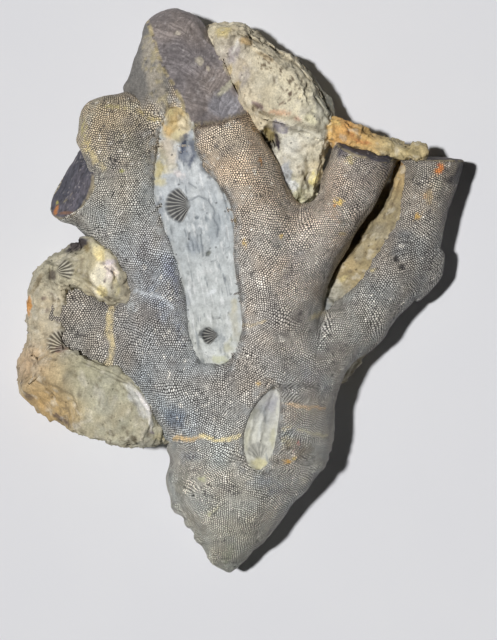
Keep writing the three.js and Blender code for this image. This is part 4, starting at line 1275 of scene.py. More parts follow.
rockTones = {
    "leftMatrix": {
        "base": [184, 178, 156],
        "washes": [
            [-28.2, -10.0, 1.6, [200, 172, 140]],
            [-26.0, -11.6, 1.8, [192, 170, 130]],
            [-26.5, -14.6, 1.7, [194, 156, 96]],
            [-24.0, -16.4, 1.5, [190, 156, 100]],
            [-21.0, -13.0, 3.0, [178, 174, 148]],
            [-17.5, -16.5, 3.0, [178, 176, 156]],
            [-26.6, -3.5, 2.4, [190, 180, 158]],
            [-24.4, 3.0, 2.0, [182, 176, 154]],
            [-20.6, 3.4, 1.6, [184, 174, 144]],
            [-15.8, 0.4, 1.2, [180, 172, 150]],
        ],
        "stains": [
            [[-18.4, 1.7, 2.1, 3.0, 0], [246, 238, 214], 1.0],
            [[-17.6, 2.4, 1.0, 1.5, 10], [250, 236, 228], 0.8],
            [[-18.9, -0.2, 1.0, 1.0, 10], [236, 220, 160], 0.8],
            [[-17.0, 0.6, 0.4, 1.8, 6], [226, 212, 160], 0.8],
            [[-18.0, 3.8, 1.2, 0.4, 10], [206, 196, 204], 0.7],
            [[-16.9, 0.2, 0.6, 0.9, 20], [222, 212, 170], 0.8],
            [[-18.3, 1.3, 0.4, 0.2, 20], [96, 84, 80], 0.9],
            [[-18.0, 2.8, 0.9, 0.12, -30], [140, 124, 130], 0.8],
            [[-17.5, 0.6, 0.5, 0.14, 50], [120, 104, 90], 0.8],
            [[-19.3, 5.2, 0.9, 1.5, 20], [238, 224, 176], 1.0],
            [[-19.9, 6.2, 0.5, 0.5, 20], [214, 206, 170], 0.8],
            [[-21.0, 5.9, 0.45, 1.0, 10], [132, 116, 78], 0.8],
            [[-22.5, 6.1, 1.9, 0.9, 32], [74, 74, 90], 1.0],
            [[-24.0, 4.6, 1.8, 0.5, 30], [196, 190, 172], 0.7],
            [[-25.6, 2.2, 0.7, 0.8, 0], [92, 84, 78], 0.85],
            [[-27.6, 1.2, 0.4, 1.8, -30], [132, 118, 92], 0.7],
            [[-28.9, -2.2, 0.5, 1.5, 0], [206, 148, 84], 0.95],
            [[-26.8, -1.0, 0.5, 0.3, 20], [128, 112, 104], 0.7],
            [[-26.4, -2.6, 0.4, 0.25, 60], [136, 120, 112], 0.7],
            [[-25.9, -0.4, 0.5, 0.2, -20], [110, 96, 86], 0.7],
            [[-24.6, -7.8, 1.1, 0.6, 10], [138, 112, 100], 0.9],
            [[-24.3, -5.6, 0.7, 1.5, -10], [120, 112, 96], 0.8],
            [[-14.0, -14.8, 1.0, 3.0, 32], [206, 206, 202], 0.85],
            [[-13.2, -15.0, 0.42, 1.9, 32], [244, 240, 238], 1.0],
            [[-12.4, -17.4, 0.35, 1.2, 10], [238, 236, 230], 0.9],
            [[-12.2, -14.2, 0.5, 2.6, 38], [160, 160, 158], 0.8],
            [[-15.6, -2.1, 1.4, 0.4, -10], [196, 196, 190], 0.8],
            [[-15.2, -0.6, 0.8, 1.8, 35], [166, 158, 140], 0.6],
            [[-18.8, -14.4, 0.9, 0.5, -20], [150, 152, 158], 0.6],
            [[-24.6, -17.2, 1.9, 0.4, -33], [92, 80, 78], 0.8],
            [[-28.6, -14.6, 1.6, 0.5, -45], [88, 78, 74], 0.8],
            [[-30.2, -11.6, 0.45, 1.6, 8], [74, 66, 62], 0.85],
            [[-12.2, -19.0, 0.45, 0.35, 0], [104, 92, 108], 0.8],
            [[-14.8, -19.8, 0.6, 0.5, 0], [104, 94, 76], 0.7],
            [[-10.6, -19.6, 1.4, 0.6, 0], [196, 186, 150], 0.7],
        ],
    },
    "upperMatrix": {
        "base": [214, 204, 178],
        "washes": [
            [3.0, 29.5, 3.0, [216, 206, 180]],
            [-1.4, 31.0, 1.4, [190, 182, 174]],
            [0.2, 27.6, 1.4, [198, 190, 174]],
            [7.4, 26.4, 2.4, [218, 210, 184]],
            [11.4, 25.0, 1.6, [196, 196, 180]],
            [6.8, 18.5, 2.4, [208, 206, 194]],
            [10.2, 17.0, 1.3, [212, 200, 164]],
            [7.2, 12.4, 1.6, [208, 206, 174]],
        ],
        "stains": [
            [[-2.8, 34.8, 1.3, 0.9, 20], [214, 198, 146], 0.9],
            [[-1.6, 33.6, 0.5, 1.1, -20], [92, 84, 72], 0.6],
            [[-1.2, 32.0, 0.9, 1.6, -28], [182, 174, 172], 0.9],
            [[0.0, 28.6, 0.9, 2.2, -28], [186, 178, 170], 0.8],
            [[-0.9, 33.0, 0.25, 1.3, -25], [232, 228, 220], 0.9],
            [[0.3, 33.5, 1.2, 0.6, -20], [196, 166, 116], 0.8],
            [[-2.0, 29.4, 0.5, 1.2, -20], [196, 176, 124], 0.6],
            [[-0.8, 27.6, 0.5, 1.0, -20], [200, 178, 124], 0.6],
            [[3.0, 31.4, 1.6, 0.4, -30], [180, 158, 120], 0.6],
            [[2.0, 24.9, 1.1, 0.5, -35], [132, 108, 112], 0.8],
            [[5.0, 23.9, 2.0, 0.4, -6], [208, 164, 132], 0.7],
            [[7.4, 23.0, 0.6, 0.3, -30], [196, 140, 120], 0.6],
            [[5.0, 22.0, 1.3, 0.9, -20], [144, 140, 154], 0.85],
            [[6.4, 19.6, 1.5, 1.6, 0], [222, 220, 210], 0.7],
            [[5.9, 15.6, 0.8, 2.4, 8], [176, 180, 186], 0.8],
            [[6.8, 14.2, 0.8, 0.8, 0], [228, 230, 228], 0.9],
            [[6.4, 12.2, 0.6, 0.6, 0], [222, 224, 220], 0.8],
            [[9.6, 15.2, 0.8, 1.4, -14], [222, 210, 150], 0.9],
            [[9.9, 16.0, 0.3, 0.45, 0], [180, 168, 120], 0.8],
            [[11.0, 12.8, 0.5, 0.9, -20], [200, 148, 108], 0.8],
            [[7.8, 11.0, 1.2, 0.7, 0], [196, 204, 170], 0.7],
            [[8.5, 14.8, 0.25, 1.5, 20], [84, 74, 56], 0.85],
            [[3.5, 21.0, 0.8, 1.3, 12], [196, 178, 116], 0.95],
            [[4.6, 20.2, 0.3, 1.5, 10], [56, 50, 58], 1.0],
            [[2.9, 20.4, 0.25, 1.5, 25], [70, 62, 56], 0.9],
            [[12.0, 25.6, 0.9, 1.4, 40], [172, 180, 168], 0.8],
            [[8.0, 31.0, 3.6, 0.45, -40], [120, 112, 92], 0.7],
            [[10.6, 27.2, 0.5, 2.2, 38], [100, 92, 80], 0.7],
            [[11.8, 28.2, 0.7, 0.4, -40], [92, 78, 86], 0.8],
            [[9.2, 22.9, 1.4, 0.7, -25], [218, 212, 178], 0.7],
        ],
        # painted shade: ovals of small pecked pits, darkened as the shade in them
        "shadedPitting": [
            [[6.0, 28.0, 3.0, 2.0, -40], [96, 82, 66]],
            [[5.4, 25.6, 2.2, 1.4, 10], [112, 92, 80]],
            [[3.0, 30.4, 2.0, 1.4, -20], [120, 104, 84]],
        ],
    },
    "ledgeMatrix": {
        "base": [196, 176, 132],
        "washes": [
            [11.4, 22.2, 1.0, [220, 190, 122]],
            [13.4, 21.6, 1.2, [232, 176, 106]],
            [16.4, 20.4, 1.4, [214, 176, 112]],
            [21.0, 19.2, 2.2, [200, 184, 140]],
        ],
        "stains": [
            [[11.2, 21.8, 0.25, 1.4, 10], [120, 92, 56], 0.7],
            [[12.2, 22.0, 0.25, 1.2, -10], [132, 94, 56], 0.6],
            [[14.6, 21.0, 1.2, 0.25, -25], [150, 90, 54], 0.6],
            [[16.0, 20.0, 1.6, 0.3, -12], [184, 108, 64], 0.6],
            [[15.4, 21.6, 1.2, 0.3, -25], [140, 110, 70], 0.6],
            [[12.6, 22.6, 0.7, 0.4, -30], [226, 196, 130], 0.8],
            [[19.2, 19.0, 1.2, 0.3, -10], [160, 134, 84], 0.5],
            [[22.6, 18.8, 1.6, 0.3, -16], [140, 128, 94], 0.6],
        ],
    },
    "channelMatrix": {
        "base": [164, 150, 116],
        "washes": [
            [21.6, 16.0, 1.6, [184, 160, 116]],
            [18.4, 8.4, 2.6, [162, 149, 118]],
            [15.4, 3.4, 2.2, [170, 154, 118]],
            [11.4, -1.0, 1.6, [158, 158, 148]],
        ],
        "stains": [
            [[21.4, 17.4, 0.6, 0.6, 0], [210, 156, 98], 0.9],
            [[20.4, 10.0, 0.3, 2.6, -20], [150, 138, 110], 0.6],
            [[10.8, -1.6, 1.0, 1.4, 30], [160, 164, 164], 0.9],
            [[13.4, 1.6, 0.9, 0.4, 30], [206, 190, 140], 0.8],
            [[9.6, -3.6, 1.2, 0.7, 30], [200, 190, 152], 0.8],
        ],
    },
    "channelBed": {"base": [150, 138, 112], "washes": [], "stains": []},
    "lowerRightMatrix": {
        "base": [176, 168, 146],
        "washes": [],
        "stains": [
            [[14.4, -8.6, 0.5, 1.6, -38], [214, 208, 192], 0.9],
            [[13.0, -10.6, 0.4, 1.4, -38], [92, 84, 70], 0.6],
        ],
    },
}


rockFacets = [(4.5, 101, 0.5), (2.0, 111, 0.32), (0.95, 115, 0.2)]  # size, seed, height

# flecks that all rocks share: size, octaves, seed, gain, level, tone, strength
rockFlecks = {
    "pools": [[3.2, 2, 151, 1.2, 0.1, [196, 170, 124], 0.2], [2.6, 2, 157, 1.2, 0.2, [166, 166, 158], 0.3]],
    "grains": [[0.5, 2, 159, 3.0, 1.65, [112, 100, 84], 0.55]],
    "crumbs": [[0.9, 2, 171, 2.0, 0.7, [222, 216, 200], 0.4]],
    # painted shade: the tone that pits, nicks, cracks and sunk forms are darkened towards
    "hollowShadeTone": [84, 74, 60],
    "paintedFrom": 7.5,  # stains fade out below this height
}


def rockSkin(name):
    # a limb-like body, then facets, clouds and pits along its normals, and the named forms where it looks up
    rock = rocks[name]
    forms = rockForms[name]
    tones = rockTones[name]
    points, inside = limbSkin(rock, rock["spacing"] * quickLook)
    if rock.get("ledge"):
        points, inside = cutNotch(points, rock["ledge"])
    for spot, look, reach in forms["flats"]:
        look = np.array(look, float) / np.linalg.norm(look)
        above = np.maximum((points - np.array(spot)) @ look, 0)
        near = ease((reach - np.linalg.norm(points[..., :2] - spot[:2], axis=-1)) / (0.35 * reach))
        points = points - look * (above * near)[..., None]
    normals = outwardNormals(points)
    faces = sum(height * chips(points, size, seed) for size, seed, height in rockFacets)
    grain = rough(points, 1.7, 4, 121)
    size, share, depth = rock["pits"]
    pitted = holes(points, size, share, 131) * ease(0.5 + 1.5 * cloud(points, 5.0, 135))
    nicks = holes(points * np.array([1.0, 1.0, 0.6]), 0.75, 0.5, 137)
    nicks = nicks * ease(0.4 + 1.8 * cloud(points, 3.0, 139))
    cracked = cracks(points, 3.4, 0.05, 161)
    relief = rock["chips"] * faces + rock["relief"] * grain - depth * pitted - 0.14 * nicks - 0.22 * cracked
    points = points + normals * relief[..., None]
    facing = ease((outwardNormals(points)[..., 2] + 0.1) / 0.5)
    lift = np.zeros(points.shape[:-1])
    # painted shade: where the rock is pitted, nicked, cracked or sunk, the tint is darkened below as the
    # shade in these hollows
    shadedHollows = np.maximum(np.maximum(pitted, 0.8 * nicks), 0.9 * cracked)
    for oval, height in forms["ovals"]:
        mark = ovalMark(points, oval)
        lift += height * mark
        shadedHollows = np.maximum(shadedHollows, mark * (height < -0.3))
    for places, width, height in forms["grooves"]:
        mark = lineMark(points, places, width)
        lift += height * mark
        shadedHollows = np.maximum(shadedHollows, mark * np.clip(-2 * height, 0, 0.9))
    tint = wash(points, tones["base"], tones["washes"])
    tint = tint * (1 + 0.12 * rough(points, 1.8, 3, 141))[..., None]
    tint = fleck(tint, points, rockFlecks["pools"])
    tint = fleck(tint, points * np.array([1.0, 0.6, 1.0]), rockFlecks["grains"])
    upper = ease((points[..., 2] - rockFlecks["paintedFrom"] + 2.0 * cloud(points, 2.5, 175)) / 2.5)
    for oval, tone, strength in tones["stains"]:
        tint = stain(tint, ovalMark(points, oval) * upper, tone, strength)
    # painted shade: the pecked pits are sunk a little and darkened
    for oval, tone in tones.get("shadedPitting", []):
        peck = ease(4.0 * (rough(points, 0.42, 2, 163) - 0.3)) * ovalMark(points, oval)
        tint = stain(tint, peck, tone, 0.85)
        lift -= 0.12 * peck
    shells, phase = np.zeros(points.shape[:2]), np.zeros(points.shape[:2])
    for fan in forms["fans"]:
        shell, turn = fanMark(points, fan[:6])
        lift += fan[6] * shell
        phase = np.where(shell > 0, turn, phase)
        shells = np.maximum(shells, shell)
    # painted shade in the pits, nicks, cracks and sunk forms
    tint = stain(tint, shadedHollows, rockFlecks["hollowShadeTone"], 0.62)
    tint = fleck(tint, points, rockFlecks["crumbs"])
    points[..., 2] += lift * facing
    points[..., 2] = np.maximum(points[..., 2], 0)
    return {"points": points, "tint": tint, "marks": {"shell": shells, "phase": phase}}


infillPieces = {"centre_matrix": "centreInfill", "lens_matrix": "lensInfill"}

# what is raised or sunk on each filling, as on the rocks; crazing and fanShade are strengths from 0 to 1
infillForms = {
    "centreInfill": {
        "spacing": 0.13,
        "relief": 0.12,
        "crazing": 1.0,
        "fanShade": 0.85,
        "ovals": [
            [[-9.3, 23.6, 1.5, 1.2, 30], 0.35],
            [[-8.3, 22.6, 0.8, 1.2, 10], 0.3],
            [[-9.8, 18.6, 1.2, 2.3, 10], 0.6],
            [[-8.6, 21.2, 1.2, 1.2, 10], 0.5],
            [[-9.4, 16.4, 0.9, 0.8, 0], 0.4],
            [[-7.4, 18.6, 1.2, 1.8, -10], -0.25],
            [[-11.4, 16.4, 0.8, 1.8, -15], 0.3],
            [[-4.6, 16.4, 0.6, 1.4, 30], -0.7],
            [[-6.2, 9.8, 0.3, 0.24, 0], -0.5],
            [[-4.6, 5.0, 0.4, 0.3, 20], -0.4],
            [[-6.5, 6.4, 1.0, 1.7, 10], -0.3],
            [[-4.4, -5.9, 1.5, 1.0, 5], -0.45],
            [[-11.2, 10.8, 0.5, 2.0, -14], -0.35],
            [[-2.0, -5.6, 1.0, 2.4, 10], 0.25],
        ],
        "grooves": [
            [[[-2.9, 13.6], [-1.7, 10.0], [-1.0, 6.4]], 0.3, -0.22],
            [[[-3.7, 12.8], [-2.5, 9.0], [-1.9, 5.6]], 0.26, 0.2],
            [[[-4.4, 12.0], [-3.6, 9.4], [-3.3, 7.0]], 0.3, -0.2],
            [[[-7.0, 7.6], [-6.6, 5.4]], 0.28, -0.3],
            [[[-6.2, 7.8], [-5.9, 5.0]], 0.26, -0.3],
            [[[-5.7, 7.4], [-5.2, 4.6]], 0.26, -0.25],
            [[[-7.2, 14.6], [-6.2, 13.6]], 0.25, -0.2],
            [[[-7.2, 12.2], [-5.8, 12.6], [-4.8, 12.0]], 0.25, -0.2],
            [[[-4.4, 0.4], [-3.0, -0.8]], 0.24, 0.2],
        ],
        "fans": [
            [-6.9, 11.6, 186.0, 62.0, 3.7, 11, 0.42],
            [-3.2, -5.9, 186.0, 44.0, 2.4, 7, 0.3],
        ],
    },
    "lensInfill": {
        "spacing": 0.12,
        "relief": 0.04,
        "crazing": 0.0,
        "fanShade": 0.35,
        "ovals": [
            [[3.6, -15.8, 0.7, 2.0, -20], -0.25],
            [[2.2, -19.0, 0.6, 2.6, -14], 0.2],
        ],
        "grooves": [
            [[[3.2, -15.4], [2.4, -18.0], [2.0, -20.8]], 0.5, 0.12],
            [[[1.2, -17.6], [0.8, -20.0], [1.2, -22.0]], 0.5, 0.12],
        ],
        "fans": [[2.3, -22.6, 105.0, 48.0, 2.6, 5, 0.22]],
    },
}

infillShades = {
    "scuff": [132, 140, 148],
    "chalk": [222, 226, 226],
    "glint": [236, 238, 238],
    "nick": [104, 112, 120],
    "shell": [96, 97, 98],
    # painted shade in the filling's cracks and sunk grooves
    "hollow": [84, 90, 98],
}

infillTones = {
    "centreInfill": {
        "edge": [150, 150, 144],
        "base": [196, 202, 204],
        "washes": [
            [-5.0, 10.0, 4.0, [188, 194, 197]],
            [-7.5, 15.0, 2.6, [194, 198, 202]],
            [-4.4, 0.0, 3.4, [196, 200, 199]],
            [-4.4, -7.0, 2.4, [206, 208, 202]],
        ],
        "stains": [
            [[-9.0, 22.8, 2.6, 3.2, 0], [208, 190, 146], 1.0],
            [[-9.0, 23.6, 1.9, 2.4, 0], [206, 184, 136], 1.0],
            [[-9.6, 23.9, 0.7, 0.5, 40], [220, 204, 152], 0.8],
            [[-8.7, 23.0, 0.3, 0.9, 30], [150, 124, 84], 0.7],
            [[-8.0, 22.0, 0.9, 1.8, 14], [232, 218, 186], 0.95],
            [[-10.0, 21.4, 0.9, 1.4, 10], [214, 184, 130], 0.9],
            [[-10.6, 18.9, 1.5, 2.6, 10], [190, 182, 158], 0.95],
            [[-9.8, 18.9, 1.3, 2.4, 10], [218, 208, 192], 0.95],
            [[-8.9, 20.9, 1.0, 0.8, 20], [234, 222, 180], 0.9],
            [[-6.0, 20.4, 0.7, 2.6, 12], [176, 166, 132], 0.85],
            [[-9.6, 16.6, 1.0, 0.9, 0], [230, 224, 206], 0.95],
            [[-8.6, 15.6, 0.9, 0.6, -20], [226, 220, 218], 0.9],
            [[-7.4, 18.6, 1.5, 2.3, -12], [128, 134, 146], 1.0],
            [[-8.0, 19.4, 0.4, 1.3, -20], [62, 70, 92], 0.9],
            [[-6.9, 17.4, 0.5, 1.1, -20], [76, 84, 104], 0.8],
            [[-7.6, 20.6, 0.6, 0.5, 0], [84, 90, 108], 0.8],
            [[-7.2, 18.8, 0.4, 0.7, 10], [186, 190, 196], 0.8],
            [[-6.2, 19.2, 0.4, 1.4, 10], [150, 148, 136], 0.7],
            [[-11.3, 16.2, 0.9, 2.2, -12], [206, 194, 146], 0.95],
            [[-10.9, 14.6, 0.8, 0.8, 0], [222, 214, 176], 0.8],
            [[-11.2, 10.4, 0.8, 2.6, -14], [138, 144, 152], 0.7],
            [[-10.2, 6.4, 0.6, 1.4, -14], [104, 112, 122], 0.6],
            [[-5.0, 16.2, 0.7, 1.8, 30], [112, 116, 120], 0.8],
            [[-3.0, 14.2, 0.6, 2.4, 30], [150, 154, 156], 0.6],
            [[-6.2, 9.8, 0.34, 0.26, 0], [86, 94, 100], 0.9],
            [[-4.6, 5.0, 0.5, 0.35, 20], [104, 106, 98], 0.8],
            [[-6.6, 6.2, 1.2, 1.9, 10], [156, 164, 172], 0.7],
            [[-3.8, 8.2, 1.2, 3.6, -15], [164, 172, 178], 0.6],
            [[-4.6, -5.9, 1.6, 1.0, 5], [98, 102, 106], 0.9],
            [[-8.0, -2.4, 0.9, 3.4, -14], [164, 170, 176], 0.6],
            [[-1.0, -4.6, 0.8, 3.6, 6], [188, 184, 164], 0.55],
            [[-1.8, -7.6, 1.0, 1.2, 30], [190, 188, 158], 0.6],
            [[-3.0, -9.2, 1.6, 0.7, 0], [200, 202, 170], 0.7],
            [[-4.0, -6.2, 2.6, 1.9, 5], [190, 196, 198], 0.4],
            [[-1.2, -2.0, 0.6, 1.4, 0], [196, 190, 166], 0.6],
            [[-5.6, 8.6, 0.5, 0.3, 0], [226, 228, 230], 0.8],
            [[-4.2, -0.2, 0.9, 0.4, 30], [224, 228, 230], 0.8],
            [[-5.2, 2.4, 1.6, 0.4, 15], [214, 216, 216], 0.6],
        ],
    },
    "lensInfill": {
        "edge": [206, 202, 178],
        "base": [206, 204, 190],
        "washes": [[3.4, -15.6, 1.6, [184, 184, 182]], [2.4, -19.4, 2.0, [206, 206, 196]]],
        "stains": [
            [[3.9, -14.9, 1.0, 1.5, -20], [170, 170, 176], 0.8],
            [[3.3, -16.8, 0.5, 1.4, -18], [182, 184, 182], 0.7],
            [[4.6, -16.2, 0.3, 2.2, -6], [208, 208, 196], 0.8],
            [[2.2, -18.6, 0.35, 2.4, -8], [212, 214, 208], 0.8],
            [[0.6, -19.4, 0.6, 2.4, -10], [204, 202, 180], 0.7],
            [[2.2, -23.0, 1.6, 0.9, 0], [210, 204, 164], 0.9],
            [[4.0, -19.6, 0.5, 1.8, -8], [188, 186, 158], 0.7],
            [[1.3, -16.6, 0.5, 1.3, -40], [166, 166, 154], 0.7],
        ],
    },
}


def infillSkin(name):
    # its top runs from edge to edge over the valley, then its underside comes back as a shallow keel
    infill = infills[name]
    forms = infillForms[name]
    tones = infillTones[name]
    spacing = forms["spacing"] * quickLook
    middle, side, width, edges = infill["lines"]
    length = np.sum(np.linalg.norm(np.diff(middle, axis=0), axis=1))
    index = np.arange(infillSteps)
    place = np.linspace(0, infillSteps - 1, int(length / spacing))
    half = np.interp(place, index, width)
    fromEnd = np.minimum(place, infillSteps - 1 - place) / (infillSteps - 1) * length / 1.2
    half = half * np.sqrt(np.maximum(1 - (1 - np.clip(fromEnd, 0.02, 1)) ** 2, 0))
    spot = np.stack([np.interp(place, index, middle[:, k]) for k in range(2)], axis=-1)
    turn = unit(np.stack([np.interp(place, index, side[:, k]) for k in range(2)], axis=-1))
    wide = int(2 * width.max() / spacing)
    top = np.sin(np.linspace(-1, 1, wide) * math.pi / 2) * 0.4 + np.linspace(-1, 1, wide) * 0.6
    under = np.linspace(1, -1, 14)[1:-1]
    across = np.concatenate([top, under])[None]
    share = (place / (infillSteps - 1))[:, None]
    height = infillHeight(infill, share, across)
    onTop = np.concatenate([np.ones(wide), np.zeros(len(under))])[None]
    keel = infill["depth"] * (1 - across ** 2) * np.sin(math.pi * share) + 0.6
    flat = spot[:, None] + turn[:, None] * (half[:, None] * across)[..., None]
    edgeWander = rough(np.concatenate([flat, 0 * flat[..., :1]], axis=-1), 1.6, 2, 219)
    flat = flat + turn[:, None] * (0.2 * edgeWander * across * np.minimum(half, 1)[:, None])[..., None]
    points = np.concatenate([flat, height[..., None]], axis=-1)
    tint = wash(points, tones["base"], tones["washes"])
    leant = points[..., 0] + 0.2 * points[..., 1]
    streak = np.stack([2.6 * leant, 0.5 * points[..., 1], points[..., 2]], axis=-1)
    tint = tint * (1 + 0.07 * rough(streak, 1.4, 3, 201) + 0.13 * rough(points, 0.6, 3, 205))[..., None]
    tint = fleck(tint, streak, [[1.6, 3, 207, 1.8, 0.9, infillShades["scuff"], 0.5]])
    tint = fleck(tint, points, [[1.6, 3, 209, 1.6, 0.48, infillShades["chalk"], 0.45]])
    lift = rough(points, 1.6, 3, 211) + 0.7 * rough(streak, 1.4, 2, 213) + 0.8 * chips(points, 2.2, 215)
    lift = forms["relief"] * lift
    tint = fleck(tint, streak, [[0.7, 2, 225, 3.0, 1.35, infillShades["glint"], 0.55 * forms["crazing"]]])
    inner = ease((0.86 - np.abs(across)) / 0.1)
    nicked = ease(3.0 * (rough(streak, 0.8, 2, 227) - 0.62)) * inner
    tint = stain(tint, nicked, infillShades["nick"], 0.6 * forms["crazing"])
    crazed = cracks(points, 1.8, 0.04, 217) * onTop * inner * forms["crazing"]
    # painted shade: the crazing cracks and, below, the sunk grooves are darkened in the tint as the shade in
    # them
    shadedHollows = 0.8 * crazed
    lift = lift - 0.12 * crazed
    edge = ease((np.abs(across) - 0.8) / 0.2) * ease(0.6 + 0.9 * rough(points, 0.9, 2, 221))
    tint = stain(tint, edge, tones["edge"], 0.65)
    for oval, rise in forms["ovals"]:
        mark = ovalMark(points, oval)
        lift += rise * mark
    for oval, tone, strength in tones["stains"]:
        tint = stain(tint, ovalMark(points, oval, 1.2), tone, strength)
    for places, thick, rise in forms["grooves"]:
        mark = lineMark(points, places, thick)
        lift += rise * mark
        shadedHollows = np.maximum(shadedHollows, mark * (rise < 0))
    shells, phase = np.zeros(points.shape[:2]), np.zeros(points.shape[:2])
    for fan in forms["fans"]:
        shell, turn = fanMark(points, fan[:6])
        lift -= 0.5 * fan[6] * shell
        phase = np.where(shell > 0, turn, phase)
        shells = np.maximum(shells, shell * forms["fanShade"])
        tint = stain(tint, shell, infillShades["shell"], 0.9 * forms["fanShade"])
    # painted shade in the cracks and sunk grooves
    tint = stain(tint, shadedHollows, infillShades["hollow"], 0.6)
    rimFall = 0.5 * ease((np.abs(across) - 0.93) / 0.07) + 0.5 * ease((np.abs(2 * share - 1) - 0.97) / 0.03)
    points[..., 2] += np.where(onTop > 0, lift - rimFall, -keel - 0.5)
    # the seam of the map is turned to the middle of the underside
    seam = -(wide + len(under) // 2)
    marks = {"shell": np.roll(shells, seam, axis=1), "phase": np.roll(phase, seam, axis=1)}
    return {"points": np.roll(points, seam, axis=1), "tint": np.roll(tint, seam, axis=1), "marks": marks}


class Strand:
    # one output in a material's node tree; plain arithmetic on it adds Math nodes
    def __init__(self, bench, socket):
        self.bench = bench
        self.socket = socket

    def maths(self, operation, first, second):
        return self.bench.put("ShaderNodeMath", {"operation": operation}, {0: first, 1: second})

    def __add__(self, other):
        return self.maths("ADD", self, other)

    def __radd__(self, other):
        return self.maths("ADD", other, self)

    def __sub__(self, other):
        return self.maths("SUBTRACT", self, other)

    def __rsub__(self, other):
        return self.maths("SUBTRACT", other, self)

    def __mul__(self, other):
        return self.maths("MULTIPLY", self, other)

    def __rmul__(self, other):
        return self.maths("MULTIPLY", other, self)

    def __pow__(self, other):
        return self.maths("POWER", self, other)


class Bench:
    # the node tree of one material, with one way to add a node
    def __init__(self, name):
        self.material = bpy.data.materials.new(name)
        self.material.use_nodes = True
        self.nodes = self.material.node_tree.nodes
        self.links = self.material.node_tree.links
        self.nodes.clear()

    def put(self, kind, settings, values, output=0):
        # a node of this kind, its settings first, then its sockets' values or links
        node = self.nodes.new(kind)
        for key, setting in settings.items():
            setattr(node, key, setting)
        for key, value in values.items():
            if isinstance(value, Strand):
                self.links.new(value.socket, node.inputs[key])
            else:
                node.inputs[key].default_value = value
        return Strand(self, node.outputs[output]) if len(node.outputs) else None

    def fade(self, value, low, high):
        # 0 at low, 1 at high, smooth between
        return self.put("ShaderNodeMapRange", {"interpolation_type": "SMOOTHSTEP"},
                        {"Value": value, "From Min": low, "From Max": high, "To Min": 0.0, "To Max": 1.0})

    def blend(self, mask, first, second):
        # first colour where the mask is 0, second where it is 1
        return self.put("ShaderNodeMix", {"data_type": "RGBA"}, {0: mask, 6: first, 7: second}, 2)

    def scaled(self, colour, amount):
        # colour or vector * amount
        return self.put("ShaderNodeVectorMath", {"operation": "SCALE"}, {0: colour, "Scale": amount})

    def summed(self, first, second):
        # vector + vector
        return self.put("ShaderNodeVectorMath", {"operation": "ADD"}, {0: first, 1: second})

    def noise(self, vector, scale, detail, roughness=0.5):
        # Blender's own noise, from about 0.2 to 0.8
        return self.put("ShaderNodeTexNoise", {},
                        {"Vector": vector, "Scale": scale, "Detail": detail, "Roughness": roughness})

    def drift(self, vector, scale, amount):
        # an offset that wanders over a map: the noise's colour * amount
        clouds = self.put("ShaderNodeTexNoise", {"noise_dimensions": "2D"},
                          {"Vector": vector, "Scale": scale, "Detail": 1.0}, 1)
        return self.scaled(clouds, amount)

    def mark(self, name, output="Fac"):
        # what the piece's mesh carries under this name
        return self.put("ShaderNodeAttribute", {"attribute_name": name}, {}, output)

    def finish(self, colour, roughness, normal, specular):
        # one Principled shader to the output
        shader = self.put("ShaderNodeBsdfPrincipled", {},
                          {"Base Color": colour, "Roughness": roughness, "Normal": normal,
                           "Specular IOR Level": specular})
        self.put("ShaderNodeOutputMaterial", {}, {"Surface": shader})
        return self.material


colonyFinish = {
    "rowSpacing": 0.27,  # mm between the rows of the little chambers' mouths
    "rowBend": 1.2,  # how far the rows wander, in mm from end to end
    "rowJitter": 0.24,  # how far single mouths stray, in mm from end to end
    "rowTurns": (20, 80, 140),  # degrees
    "poreRim": -0.9,
    "poreHeart": 1.0,
    "poreShade": 2.95,
    # painted shade: how dark the mesh between the pores is made
    "meshPaintedShade": 0.21,
    "bumpDepth": 0.00007,
    "grainDepth": 0.00006,
    # noises: scale, detail, roughness
    "patches": (420.0, 3.0, 0.5),
    "scuffs": (1250.0, 3.0, 0.6),
    "grain": (5200.0, 2.0, 0.5),
    "speckle": (2100.0, 3.0, 0.7),
    "gloss": 0.35,
    # the streaks on a broken face fan out from a line through the origin, turned by so many degrees
    "streakTurn": -22.0,
    "streakMiddle": 5.85,
    "streakScale": (2500.0, 260.0),
}


